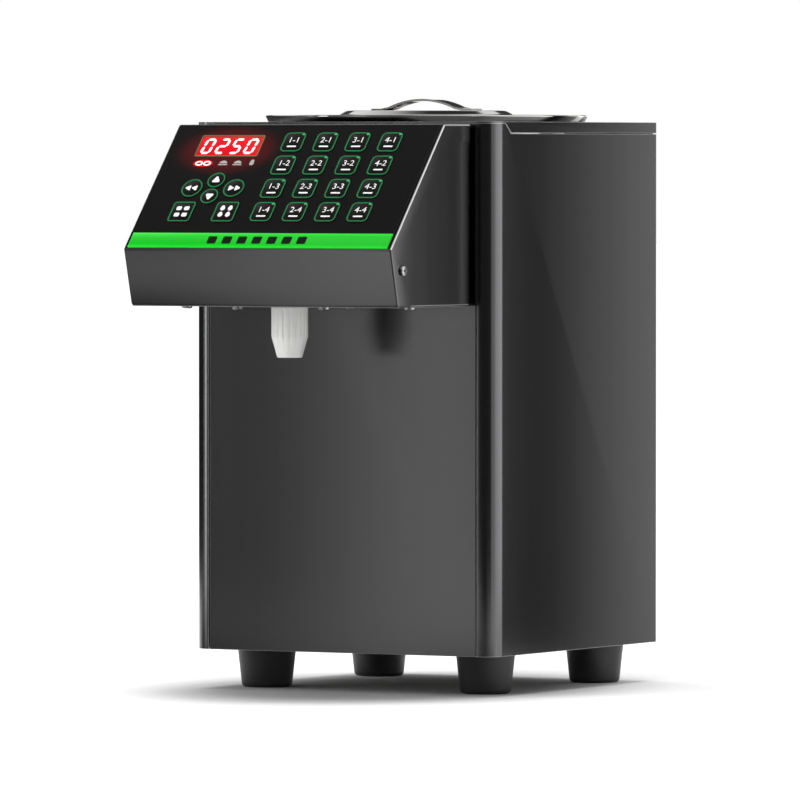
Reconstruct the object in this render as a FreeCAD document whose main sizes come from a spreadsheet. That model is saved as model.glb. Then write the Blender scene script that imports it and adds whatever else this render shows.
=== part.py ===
import FreeCAD, Part
import math
import os
import re
import Sketcher
from FreeCAD import Vector

# A counter-top fructose dispenser: a syrup tank in a sheet-steel body on four feet, a gear pump
# under the tank, and a head with a keypad and a nozzle in front. Millimetres, X to the right,
# Y to the back, Z up. The origin is on the counter, under the middle of the whole machine.

doc = FreeCAD.newDocument("fructose_dispenser")
sizes = doc.addObject("Spreadsheet::Sheet", "sizes")
places = doc.addObject("App::VarSet", "places")
size_names = []
place_names = []
sub_parts = []

# Two lengths in mm, or two volumes in cubic mm, that differ by less than this are the same.
NEAR = 1e-4


def list_sizes(group, **values):
    """Writes one group of driving sizes to the sheet: name, value and group on each row."""
    for name, value in values.items():
        size_names.append(name)
        row = len(size_names)
        sizes.set(f"A{row}", name)
        sizes.set(f"B{row}", str(value))
        sizes.setAlias(f"B{row}", name)
        sizes.set(f"C{row}", group)
    doc.recompute()


def spelled(formula):
    """The formula with each size or place written as the cell or property that holds it."""
    def owner(word):
        if word[0] in size_names:
            return "sizes." + word[0]
        if word[0] in place_names:
            return "places." + word[0]
        return word[0]
    return re.sub(r"[a-z]\w*", owner, formula)


def number(formula):
    """The value that a formula has now."""
    return float(sizes.evalExpression(spelled(formula)))


def list_places(**formulas):
    """Keeps values that are worked out from the sizes, each as a bound property."""
    for name, formula in formulas.items():
        places.addProperty("App::PropertyFloat", name)
        places.setExpression(name, spelled(formula))
        place_names.append(name)
        doc.recompute()


list_sizes("body casing",
           body_width=250, body_depth=252, body_height=383, sheet=1.2,
           front_bend=13.5, rear_bend=3, front_flange=14, rear_flange=14)
list_sizes("front panel", panel_gap=0.4, panel_recess=0.3, panel_fold=8, panel_round=0.8)
list_sizes("top cover", cover_skirt=8, seam_start=16, seam_run=10, seam_gap=0.6, tank_mouth=105)
list_sizes("base tray", tray_sheet=1.5, tray_wall=15, tray_corner=17)
list_sizes("feet",
           foot_height=29, foot_top=21.4, foot_bottom=18.5, foot_round=3,
           foot_side_inset=34, foot_front_inset=50, foot_rear_inset=35,
           foot_recess_radius=7, foot_recess=14, foot_bolt_radius=2.5, foot_bolt_head=5.5,
           foot_bolt_head_height=4, foot_bolt_end=8)
list_sizes("panel screws",
           screw_radius=1.9, screw_head=3.95, screw_head_height=2.4, screw_length=8,
           screw_clearance=0.2, screw_round=1.5, rear_screw_count=4, rear_screw_margin=40,
           cross_half=0.45, cross_reach=1.7, cross_depth=1.3)
list_sizes("head",
           head_width=219, head_reach=123, head_top_reach=44.5, head_bottom_reach=112,
           head_top_drop=2, ridge_drop=90.7, head_drop=131.8, head_sheet=0.8,
           head_flange=12, head_top_flange=12.5, chin_flange_reach=94, ridge_round=3,
           side_round=1.2,
           neck_depth=7, neck_inset=9.5, neck_margin=5, frame_sheet=1.2, window_width=60,
           window_top=40, window_bottom=84, side_screw_reach=106.4, side_screw_drop=105.5)
list_sizes("head bottom screws",
           outer_screw_reach=63.5, outer_screw_side=91.7, middle_screw_reach=87.6,
           middle_screw_side=35.4, inner_screw_reach=29.7, inner_screw_side=24.6)
list_sizes("keypad",
           overlay_margin=1, overlay_side=2.5, overlay_thick=0.6, strip_start=103.9,
           strip_end=117.5, strip_thick=0.9, key_gap=0.15, key_float=0.45, key_thick=0.6,
           key_travel=0.3, key_round=4, key_width=17.5, key_length=18.5, key_columns=4, key_rows=4,
           key_first_column=-7.3, key_column_pitch=26.4, key_first_row=17.7, key_row_pitch=22.05,
           mode_key_width=18.5, mode_key_length=19, mode_key_round=2.5,
           mode_key_left=-74.1, mode_key_right=-38.2, mode_key_row=84,
           pad_middle=-57, pad_row=61.6, pad_side_reach=17.3, pad_up_reach=7.6,
           pad_side_radius=8.5, pad_up_radius=7.2, key_edge=0.2, stem_radius=2.5,
           stem_clearance=0.6)
list_sizes("display",
           window_middle=-58.6, window_row=21, lens_width=50.5, lens_height=18.5, lens_gap=0.15,
           lens_thick=2.5, module_width=48, module_height=16)
list_sizes("control board",
           board_drop=10, board_thick=1.6, board_side=100, board_start=7, board_end=106,
           switch_width=6, switch_body=2.8, switch_height=3.5, plunger_radius=1.6,
           plunger_gap=0.1,
           standoff_radius=3, standoff_side=95, standoff_start=11, standoff_end=99)
list_sizes("tank",
           tank_wall=1, tank_depth=238, tank_flange=8, sump_radius=14, sump_drop=6,
           tank_drain=5)
list_sizes("heater",
           heater_gap=0.3, heater_thick=1.6, heater_height=40, heater_rise=14, heater_split=10,
           heater_lug=7, heater_lug_height=14)
list_sizes("lid",
           lid_radius=118.5, lid_rim=5.1, lid_edge=1, lid_taper=2.6, lid_gap=0.3, lid_sheet=1,
           lid_cone_foot=65, lid_cone_top=58.4, lid_cone_rise=3.4, dish_radius=28,
           dish_floor=23, dish_drop=4,
           seal_outer=103.5, seal_wall=3, seal_drop=9, seal_lip=1.2, seal_lip_height=3)
list_sizes("lid handle",
           handle_span=66, handle_rise=8.6, handle_thick=1.5, handle_width=16, handle_foot=9)
list_sizes("nozzle",
           nozzle_reach=74.9, nozzle_radius=13.1, nozzle_barrel=22.1, nozzle_cone=14.5,
           nozzle_tip=8.85, nozzle_bore=5, nozzle_gap=0.3, flute_count=18, flute_depth=0.8,
           flute_width=2.2, flute_start=2, spigot_radius=9, spigot_length=16, spigot_gap=0.3)
list_sizes("anti-drip valve",
           valve_radius=17, valve_height=34, valve_bore=7, valve_floor=2, valve_ceiling=28,
           outlet_bore=4, seat_bore=3, poppet_radius=5.5, poppet_rim=2, poppet_nose=1.2,
           poppet_stem=2.4, poppet_stem_length=10, poppet_gap=0.3, spring_radius=4.2,
           spring_wire=0.45, spring_turns=5, spring_gap=0.1)
list_sizes("hoses",
           hose_radius=5, hose_bore=3.2, spigot_wall_radius=3.1, barb_bore=1.8, barb_length=12,
           hose_gap=0.3, inlet_bend=30, rise_bend=35, head_bend=30, rise_reach=9.5)
list_sizes("tank outlet",
           elbow_radius=9, elbow_height=30, elbow_arm=7, elbow_arm_length=14, elbow_drop=20,
           elbow_plate=3, elbow_plate_radius=14)
list_sizes("gear pump",
           pump_front=62, pump_rise=41, pump_half_width=22, pump_half_height=20,
           pump_cover_thick=5, pump_back_wall=4, cavity_depth=12, cavity_gap=0.3, gear_teeth=14,
           gear_centres=17, gear_tip=9.5, gear_root=7, tooth_tip_half=0.4, tooth_root_half=1.3,
           gear_face_gap=0.3, shaft_radius=3, shaft_fit=0.05, bearing_depth=3, shaft_end_gap=0.3,
           pump_round=3, outlet_drop=3.2)
list_sizes("pump bracket",
           bracket_sheet=3, bracket_half_width=30, bracket_top=6, bracket_foot=30,
           shaft_hole=8)
list_sizes("gear motor",
           gearbox_radius=18.5, gearbox_length=26, motor_radius=17, motor_length=45,
           motor_socket=12, motor_cap_radius=8, motor_cap=3)
list_sizes("power supply",
           supply_width=80, supply_length=115, supply_height=34, supply_side=-112,
           supply_front=92, supply_round=1.5, terminal_width=60, terminal_depth=12,
           terminal_height=10)
list_sizes("rear cover",
           rear_cover_inset=2, vent_width=46, vent_height=3, vent_pitch=8, vent_count=12,
           vent_top=40, vent_side=42)
list_sizes("power inlet",
           inlet_side=70, inlet_rise=53, inlet_flange_width=50, inlet_flange_height=62,
           inlet_flange=2, inlet_round=4, inlet_body_width=40, inlet_body_height=52,
           inlet_body_depth=24, socket_width=24.5, socket_height=17, socket_deep=17,
           socket_round=3, socket_drop=12, pin_length=11, pin_width=4, pin_thick=2, pin_pitch=7,
           pin_raise=2, inlet_gap=0.3, rocker_raise=15, rocker_width=24, rocker_height=12,
           rocker_depth=10)
list_sizes("power rocker",
           rocker_gap=0.7, rocker_end_gap=0.3, rocker_back=3, rocker_face=1, rocker_rise=1.6,
           rocker_tilt=8, rocker_pivot=3, rocker_pin=1.5, pin_fit=0.1, pin_run=1.5)
list_sizes("cutting", overrun=5)

list_places(
    front_y="(head_reach - body_depth - screw_head_height) / 2",
    rear_y="front_y + body_depth",
    middle_y="front_y + body_depth / 2",
    side_x="body_width / 2",
    base_z="foot_height",
    top_z="foot_height + body_height",
    plate_z="top_z - sheet",
    seam_top_y="front_y + seam_start + seam_run * sheet / cover_skirt",
    head_x="head_width / 2",
    head_z="top_z - head_top_drop",
    ridge_z="top_z - ridge_drop",
    chin_z="top_z - head_drop",
    head_top_y="front_y - head_top_reach",
    ridge_y="front_y - head_reach",
    chin_y="front_y - head_bottom_reach",
    neck_y="front_y - neck_depth",
    slant_run="head_reach - head_top_reach",
    slant_fall="ridge_drop - head_top_drop",
    slant_length="sqrt(slant_run * slant_run + slant_fall * slant_fall)",
    slant_sine="slant_run / slant_length",
    slant_cosine="slant_fall / slant_length",
    chin_run="head_reach - head_bottom_reach",
    chin_fall="head_drop - ridge_drop",
    chin_length="sqrt(chin_run * chin_run + chin_fall * chin_fall)",
    top_inset_share="(1 - slant_sine) / slant_cosine",
    chin_inset_share="chin_length / chin_fall",
    ridge_fall_share="(1 / slant_cosine - chin_inset_share)"
                     " / (slant_run / slant_fall + chin_run / chin_fall)",
    ridge_inset_share="1 / slant_cosine - ridge_fall_share * slant_run / slant_fall",
    cheek_x="head_x - head_sheet",
    nozzle_y="front_y - nozzle_reach",
    valve_z="chin_z + frame_sheet",
    tank_floor_z="plate_z - tank_depth",
    sump_z="tank_floor_z - sump_drop",
    elbow_z="sump_z - elbow_drop",
    pump_y="front_y + pump_front",
    pump_body_y="pump_y + pump_cover_thick",
    cavity_end_y="pump_body_y + cavity_depth",
    port_y="pump_body_y + cavity_depth / 2",
    bracket_y="cavity_end_y + pump_back_wall",
    motor_y="bracket_y + bracket_sheet",
    pump_z="base_z + pump_rise",
    pump_top_z="pump_z + pump_half_height",
    gear_x="gear_centres / 2",
    tray_top_z="base_z + tray_sheet",
    board_face="board_thick - board_drop",
    lens_back="overlay_thick - lens_thick",
    inlet_z="base_z + inlet_rise",
    inlet_face_y="rear_y - sheet + inlet_flange",
    lid_top="lid_rim + lid_cone_rise",
    handle_radius="(handle_span * handle_span / 4 + handle_rise * handle_rise)"
                  " / (2 * handle_rise)",
    handle_centre="lid_top + handle_rise - handle_radius",
    tray_front_y="front_y + panel_recess + panel_fold",
    tray_rear_y="rear_y - 2 * sheet",
    hose_port_z="pump_z - outlet_drop",
    rise_y="front_y + rise_reach",
    head_hose_z="valve_z + valve_height + barb_length + head_bend",
)


def origin_part(piece, role):
    """One of the piece's own origin planes or axes."""
    return [feature for feature in piece.Origin.OriginFeatures if feature.Role == role][0]


def new_piece(label, kept=True):
    """An empty body for one sub-part. What is only a pattern for copies isn't kept itself."""
    piece = doc.addObject("PartDesign::Body", label)
    piece.Label = label
    if kept:
        sub_parts.append(piece)
    return piece


def bind(thing, **formulas):
    """Binds properties to formulas. Two underscores stand for a point in the property's path."""
    for path, formula in formulas.items():
        thing.setExpression(path.replace("__", "."), spelled(formula))


def put(thing, x="0", y="0", z="0", axis=None, turn="0"):
    """Places a piece, turned about an axis first."""
    if axis:
        thing.Placement.Rotation = FreeCAD.Rotation(axis, number(turn))
        bind(thing, Placement__Rotation__Angle=turn)
    bind(thing, Placement__Base__x=x, Placement__Base__y=y, Placement__Base__z=z)


def put_on_slant(thing):
    """Lays a piece's X along the keypad, its Y up the slope and its Z out of the face."""
    put(thing, "0", "head_top_y", "head_z", Vector(1, 0, 0), "atan(slant_fall / slant_run)")


def sketch_on(piece, role, offset="0"):
    """A sketch on an origin plane of the piece, moved along that plane's normal."""
    sketch = piece.newObject("Sketcher::SketchObject", piece.Label + "_sketch")
    sketch.AttachmentSupport = [(origin_part(piece, role), "")]
    sketch.MapMode = "FlatFace"
    bind(sketch, AttachmentOffset__Base__z=offset)
    return sketch


def sketch_on_slant(piece):
    """A sketch on the head's slanted face: X along the keypad, Y up the slope."""
    sketch = sketch_on(piece, "XY_Plane", "head_z")
    angle = number("atan(slant_fall / slant_run)")
    sketch.AttachmentOffset.Rotation = FreeCAD.Rotation(Vector(1, 0, 0), angle)
    bind(sketch, AttachmentOffset__Base__y="head_top_y",
         AttachmentOffset__Rotation__Angle="atan(slant_fall / slant_run)")
    return sketch


START, END, CENTRE = 1, 2, 3


def bind_constraint(sketch, index, formula):
    sketch.setExpression(f"Constraints[{index}]", spelled(formula))


def pin_point(sketch, geometry, end, x, y):
    """Holds a point of a sketch at bound distances from the sketch's origin."""
    for kind, formula in (("DistanceX", x), ("DistanceY", y)):
        value = number(formula)
        index = sketch.addConstraint(Sketcher.Constraint(kind, -1, START, geometry, end, value))
        bind_constraint(sketch, index, formula)


def polygon(sketch, points):
    """A closed outline of straight lines, each corner a pair of formulas."""
    corners = [Vector(number(x), number(y), 0) for x, y in points]
    first = sketch.GeometryCount
    count = len(corners)
    for place in range(count):
        line = Part.LineSegment(corners[place], corners[(place + 1) % count])
        sketch.addGeometry(line, False)
    for place, (x, y) in enumerate(points):
        following = first + (place + 1) % count
        sketch.addConstraint(
            Sketcher.Constraint("Coincident", first + place, END, following, START))
        pin_point(sketch, first + place, START, x, y)


def rectangle(sketch, left, right, low, high):
    """An upright rectangle between four bound coordinates."""
    polygon(sketch, [(left, low), (right, low), (right, high), (left, high)])


def circle(sketch, x, y, radius):
    """A circle with a bound centre and radius."""
    shape = Part.Circle(Vector(number(x), number(y), 0), Vector(0, 0, 1), number(radius))
    index = sketch.addGeometry(shape, False)
    pin_point(sketch, index, CENTRE, x, y)
    bound = sketch.addConstraint(Sketcher.Constraint("Radius", index, number(radius)))
    bind_constraint(sketch, bound, radius)


def rounded_rectangle(sketch, x, y, width, height, radius):
    """A rectangle about a middle point, with its four corners as tangent arcs."""
    middle = Vector(number(x), number(y), 0)
    across = number(width) / 2
    up = number(height) / 2
    bend = number(radius)
    first = sketch.GeometryCount
    signs = [(1, 1), (-1, 1), (-1, -1), (1, -1)]
    for quarter, (side, rise) in enumerate(signs):
        centre = middle + Vector(side * (across - bend), rise * (up - bend), 0)
        ring = Part.Circle(centre, Vector(0, 0, 1), bend)
        start = quarter * math.pi / 2
        sketch.addGeometry(Part.ArcOfCircle(ring, start, start + math.pi / 2), False)
    for quarter in range(4):
        begin = sketch.getPoint(first + quarter, END)
        finish = sketch.getPoint(first + (quarter + 1) % 4, START)
        sketch.addGeometry(Part.LineSegment(begin, finish), False)
    for quarter, (side, rise) in enumerate(signs):
        arc = first + quarter
        line = first + 4 + quarter
        following = first + (quarter + 1) % 4
        pin_point(sketch, arc, CENTRE,
                  f"{x} + {side} * ({width}) / 2 - {side} * ({radius})",
                  f"{y} + {rise} * ({height}) / 2 - {rise} * ({radius})")
        index = sketch.addConstraint(Sketcher.Constraint("Radius", arc, bend))
        bind_constraint(sketch, index, radius)
        sketch.addConstraint(Sketcher.Constraint("Tangent", arc, END, line, START))
        sketch.addConstraint(Sketcher.Constraint("Tangent", line, END, following, START))


def rebuilt(*features):
    """Works out the given features now, in order, so that the next one can use their shapes."""
    for feature in features:
        feature.recompute()
    return features[-1]


def add_feature(piece, kind, profile, length=None, middle=False, backwards=False):
    """A pad or pocket of a sketch. With no length, a pocket goes right through both ways."""
    feature = piece.newObject("PartDesign::" + kind, f"{piece.Label}_{kind.lower()}")
    feature.Profile = profile
    feature.Midplane = middle or length is None
    feature.Reversed = backwards
    if length is None:
        feature.Type = "ThroughAll"
    else:
        bind(feature, Length=length)
    return rebuilt(profile, feature)


def pad(piece, profile, length, middle=False, backwards=False):
    return add_feature(piece, "Pad", profile, length, middle, backwards)


def pocket(piece, profile, length=None, middle=False, backwards=False):
    return add_feature(piece, "Pocket", profile, length, middle, backwards)


def turn_profile(piece, points, kind="Revolution"):
    """Spins an outline of radius and height pairs about the piece's own upright axis."""
    sketch = sketch_on(piece, "XZ_Plane")
    polygon(sketch, points)
    feature = piece.newObject("PartDesign::" + kind, f"{piece.Label}_{kind.lower()}")
    feature.Profile = sketch
    feature.ReferenceAxis = (sketch, ["V_Axis"])
    feature.Angle = 360
    return rebuilt(sketch, feature)


def round_edges(piece, radius, wanted):
    """Rounds the edges of the piece's last feature that the given test accepts."""
    base = piece.Tip
    names = [f"Edge{place}" for place, edge in enumerate(base.Shape.Edges, 1) if wanted(edge)]
    fillet = piece.newObject("PartDesign::Fillet", piece.Label + "_round")
    fillet.Base = (base, names)
    bind(fillet, Radius=radius)
    return rebuilt(fillet)


def upright_at(*corners):
    """A test for upright edges that stand at the given plan places."""
    spots = [(number(x), number(y)) for x, y in corners]

    def wanted(edge):
        box = edge.BoundBox
        upright = box.XLength < NEAR and box.YLength < NEAR
        return upright and any(abs(box.XMin - x) < NEAR and abs(box.YMin - y) < NEAR
                               for x, y in spots)
    return wanted


def polar_pattern(piece, feature, count, role="Z_Axis"):
    """Repeats a feature evenly round one of the piece's axes."""
    pattern = piece.newObject("PartDesign::PolarPattern", piece.Label + "_ring")
    pattern.Originals = [feature]
    pattern.Axis = (origin_part(piece, role), [""])
    pattern.Angle = 360
    bind(pattern, Occurrences=count)
    piece.Tip = pattern
    return rebuilt(pattern)


def copies(label, pattern_piece, spots):
    """Identical pieces in one node: linked copies, each at its own bound place."""
    links = []
    for x, y, z, axis, turn in spots:
        link = doc.addObject("App::Link", label + "_copy")
        link.LinkedObject = pattern_piece
        put(link, x, y, z, axis, turn)
        links.append(link)
    group = doc.addObject("Part::Compound", label)
    group.Label = label
    group.Links = links
    sub_parts.append(group)
    return group


# Side panels: bent steel sheets with a large front bend, a narrow front flange and a rear flange
# that takes the rear cover's screws. The top cover's skirt lies flush above them.
def make_side_panels():
    right = new_piece("right_side_panel")
    plan = sketch_on(right, "XY_Plane", "base_z")
    polygon(plan, [("side_x - front_flange", "front_y"), ("side_x", "front_y"),
                   ("side_x", "rear_y"), ("side_x - rear_flange", "rear_y"),
                   ("side_x - rear_flange", "rear_y - sheet"),
                   ("side_x - sheet", "rear_y - sheet"), ("side_x - sheet", "front_y + sheet"),
                   ("side_x - front_flange", "front_y + sheet")])
    pad(right, plan, "body_height - sheet")
    round_edges(right, "front_bend", upright_at(("side_x", "front_y")))
    round_edges(right, "front_bend - sheet", upright_at(("side_x - sheet", "front_y + sheet")))
    round_edges(right, "rear_bend", upright_at(("side_x", "rear_y")))
    round_edges(right, "rear_bend - sheet", upright_at(("side_x - sheet", "rear_y - sheet")))
    notch = sketch_on(right, "YZ_Plane")
    polygon(notch, [("seam_top_y - seam_gap", "plate_z"),
                    ("front_y + seam_start + seam_run - seam_gap",
                     "top_z - cover_skirt - seam_gap"),
                    ("rear_y + overrun", "top_z - cover_skirt - seam_gap"),
                    ("rear_y + overrun", "plate_z + overrun"),
                    ("seam_top_y - seam_gap", "plate_z + overrun")])
    pocket(right, notch)
    holes = sketch_on(right, "XZ_Plane", "-rear_y")
    for height in rear_screw_heights():
        circle(holes, "side_x - rear_flange / 2", height, "screw_radius + screw_clearance")
    pocket(right, holes, "2 * sheet", backwards=True)
    left = doc.addObject("Part::Mirroring", "left_side_panel")
    left.Label = "left_side_panel"
    left.Source = right
    left.Normal = Vector(1, 0, 0)
    sub_parts.append(left)


def rear_screw_heights():
    """The heights of the rear cover's screws, evenly spread between the two margins."""
    count = round(number("rear_screw_count"))
    return [f"base_z + rear_screw_margin + {row} * (body_height - 2 * rear_screw_margin)"
            f" / (rear_screw_count - 1)" for row in range(count)]


# Top cover: one drawn sheet over the body, with a short skirt along the sides and back that is
# cut off at a slant behind the front bends, and the mouth of the tank in the middle.
def make_top_cover():
    cover = new_piece("top_cover")
    plan = sketch_on(cover, "XY_Plane", "top_z - cover_skirt")
    rectangle(plan, "-side_x", "side_x", "front_y", "rear_y")
    pad(cover, plan, "cover_skirt")
    round_edges(cover, "front_bend", upright_at(("side_x", "front_y"), ("-side_x", "front_y")))
    round_edges(cover, "rear_bend", upright_at(("side_x", "rear_y"), ("-side_x", "rear_y")))
    inside = sketch_on(cover, "XY_Plane", "plate_z")
    rectangle(inside, "-side_x + sheet", "side_x - sheet", "front_y - overrun",
              "rear_y - sheet")
    pocket(cover, inside, "cover_skirt")
    front = sketch_on(cover, "YZ_Plane")
    polygon(front, [("front_y - overrun", "plate_z"),
                    ("seam_top_y", "plate_z"),
                    ("front_y + seam_start + seam_run", "top_z - cover_skirt"),
                    ("front_y + seam_start + seam_run", "top_z - cover_skirt - overrun"),
                    ("front_y - overrun", "top_z - cover_skirt - overrun")])
    pocket(cover, front)
    mouth = sketch_on(cover, "XY_Plane", "top_z")
    circle(mouth, "0", "middle_y", "tank_mouth")
    pocket(cover, mouth)


# Front panel: a shallow folded pan between the side panels' front flanges, with a window for
# the hose that runs into the head.
def make_front_panel():
    panel = new_piece("front_panel")
    edge = "side_x - front_flange - panel_gap"
    face = sketch_on(panel, "XZ_Plane", "-(front_y + panel_recess)")
    rectangle(face, f"-({edge})", edge, "base_z", "plate_z")
    pad(panel, face, "panel_fold", backwards=True)
    limit = number(edge)
    level = number("front_y + panel_recess")
    round_edges(panel, "panel_round", lambda piece_edge: (
        abs(piece_edge.BoundBox.YMin - level) < NEAR and piece_edge.BoundBox.YLength < NEAR
        and piece_edge.BoundBox.XLength < NEAR
        and abs(abs(piece_edge.BoundBox.XMin) - limit) < NEAR))
    back = sketch_on(panel, "XZ_Plane", "-(front_y + panel_recess + sheet)")
    rectangle(back, f"-({edge}) + sheet", f"{edge} - sheet", "base_z + sheet",
              "plate_z - sheet")
    pocket(panel, back, "panel_fold")
    window = sketch_on(panel, "XZ_Plane")
    rectangle(window, "-window_width / 2", "window_width / 2", "top_z - window_bottom",
              "top_z - window_top")
    pocket(panel, window)


# Rear cover: a flat sheet behind the rear flanges, with vent slots and the hole of the inlet.
def make_rear_cover():
    cover = new_piece("rear_cover")
    face = sketch_on(cover, "XZ_Plane", "-(rear_y - sheet)")
    edge = "side_x - sheet - rear_cover_inset"
    rectangle(face, f"-({edge})", edge, "base_z", "plate_z")
    pad(cover, face, "sheet")
    vents = sketch_on(cover, "XZ_Plane")
    for side in (-1, 1):
        rectangle(vents, f"{side} * vent_side - vent_width / 2",
                  f"{side} * vent_side + vent_width / 2",
                  "top_z - vent_top - vent_height", "top_z - vent_top")
    slots = cover.newObject("PartDesign::LinearPattern", "rear_cover_vents")
    slots.Originals = [pocket(cover, vents)]
    slots.Direction = (origin_part(cover, "Z_Axis"), [""])
    slots.Reversed = True
    bind(slots, Length="vent_pitch * (vent_count - 1)", Occurrences="vent_count")
    cover.Tip = slots
    rebuilt(slots)
    holes = sketch_on(cover, "XZ_Plane")
    rounded_rectangle(holes, "inlet_side", "inlet_z", "inlet_body_width + 2 * inlet_gap",
                      "inlet_body_height + 2 * inlet_gap", "inlet_round")
    for side in (-1, 1):
        for height in rear_screw_heights():
            circle(holes, f"{side} * (side_x - rear_flange / 2)", height,
                   "screw_radius + screw_clearance")
    pocket(cover, holes)


# Base tray: the folded floor between the panels. The feet are bolted up through it.
def make_base_tray():
    tray = new_piece("base_tray")
    plan = sketch_on(tray, "XY_Plane", "base_z")
    rectangle(plan, "-side_x + sheet", "side_x - sheet", "tray_front_y", "tray_rear_y")
    pad(tray, plan, "tray_wall")
    inside = sketch_on(tray, "XY_Plane", "tray_top_z")
    rectangle(inside, "-side_x + sheet + tray_sheet", "side_x - sheet - tray_sheet",
              "tray_front_y + tray_sheet", "tray_rear_y - tray_sheet")
    pocket(tray, inside, "tray_wall", backwards=True)
    outer = "side_x - sheet"
    inner = "side_x - sheet - tray_sheet"
    round_edges(tray, "tray_corner", upright_at(
        (outer, "tray_front_y"), (f"-({outer})", "tray_front_y")))
    round_edges(tray, "tray_corner - tray_sheet", upright_at(
        (inner, "tray_front_y + tray_sheet"), (f"-({inner})", "tray_front_y + tray_sheet")))
    round_edges(tray, "rear_bend", upright_at(
        (outer, "tray_rear_y"), (f"-({outer})", "tray_rear_y")))
    holes = sketch_on(tray, "XY_Plane")
    for x, y in foot_spots():
        circle(holes, x, y, "foot_bolt_radius + screw_clearance")
    pocket(tray, holes)


def foot_spots():
    """The plan places of the four feet."""
    return [(f"{side} * (side_x - foot_side_inset)", y) for side in (-1, 1)
            for y in ("front_y + foot_front_inset", "rear_y - foot_rear_inset")]


# Feet: four moulded black cones with a recess for the bolt, and the bolts themselves.
def make_feet():
    foot = new_piece("one_foot", kept=False)
    bore = "foot_bolt_radius + screw_clearance"
    turn_profile(foot, [(bore, "foot_recess"), ("foot_recess_radius", "foot_recess"),
                        ("foot_recess_radius", "0"), ("foot_bottom", "0"),
                        ("foot_top", "foot_height"), (bore, "foot_height")])
    rim = number("foot_bottom")
    round_edges(foot, "foot_round", lambda edge: (
        edge.BoundBox.ZMax < NEAR and abs(edge.BoundBox.XMax - rim) < NEAR))
    copies("feet", foot, [(x, y, "0", None, "0") for x, y in foot_spots()])
    bolt = new_piece("one_foot_bolt", kept=False)
    top = "foot_height + tray_sheet + foot_bolt_end"
    turn_profile(bolt, [("0", "foot_recess - foot_bolt_head_height"),
                        ("foot_bolt_head", "foot_recess - foot_bolt_head_height"),
                        ("foot_bolt_head", "foot_recess"), ("foot_bolt_radius", "foot_recess"),
                        ("foot_bolt_radius", top), ("0", top)])
    copies("foot_bolts", bolt, [(x, y, "0", None, "0") for x, y in foot_spots()])


# Panel screws: one kind of domed cross-head screw for the rear cover and the head.
def make_panel_screws():
    screw = new_piece("one_screw", kept=False)
    turn_profile(screw, [("0", "-screw_length"), ("screw_radius", "-screw_length"),
                         ("screw_radius", "0"), ("screw_head", "0"),
                         ("screw_head", "screw_head_height"), ("0", "screw_head_height")])
    crown = number("screw_head_height")
    round_edges(screw, "screw_round", lambda edge: edge.BoundBox.ZMin > crown - NEAR)
    cross = sketch_on(screw, "XY_Plane", "screw_head_height")
    low, high = "-cross_half", "cross_half"
    near, far = "-cross_reach", "cross_reach"
    polygon(cross, [(high, high), (high, far), (low, far), (low, high), (near, high),
                    (near, low), (low, low), (low, near), (high, near), (high, low),
                    (far, low), (far, high)])
    pocket(screw, cross, "cross_depth")
    along_x = Vector(1, 0, 0)
    along_y = Vector(0, 1, 0)
    spots = []
    for side in (-1, 1):
        for height in rear_screw_heights():
            spots.append((f"{side} * (side_x - rear_flange / 2)", "rear_y", height,
                          along_x, "-90"))
        spots.append((f"{side} * head_x", "front_y - side_screw_reach",
                      "top_z - side_screw_drop", along_y, f"{side} * 90"))
    for x, y in bottom_screw_spots():
        spots.append((x, y, "chin_z", along_x, "180"))
    copies("panel_screws", screw, spots)


def bottom_screw_spots():
    """The plan places of the six screws under the head."""
    return [(f"{side} * {name}_screw_side", f"front_y - {name}_screw_reach")
            for side in (-1, 1) for name in ("outer", "middle", "inner")]


def head_corners(inset):
    """The head's top, ridge and chin corners in side view, moved in by a sheet or a flange."""
    return [(f"head_top_y + {inset} * top_inset_share", f"head_z - {inset}"),
            (f"ridge_y + {inset} * ridge_inset_share", f"ridge_z - {inset} * ridge_fall_share")]


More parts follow.
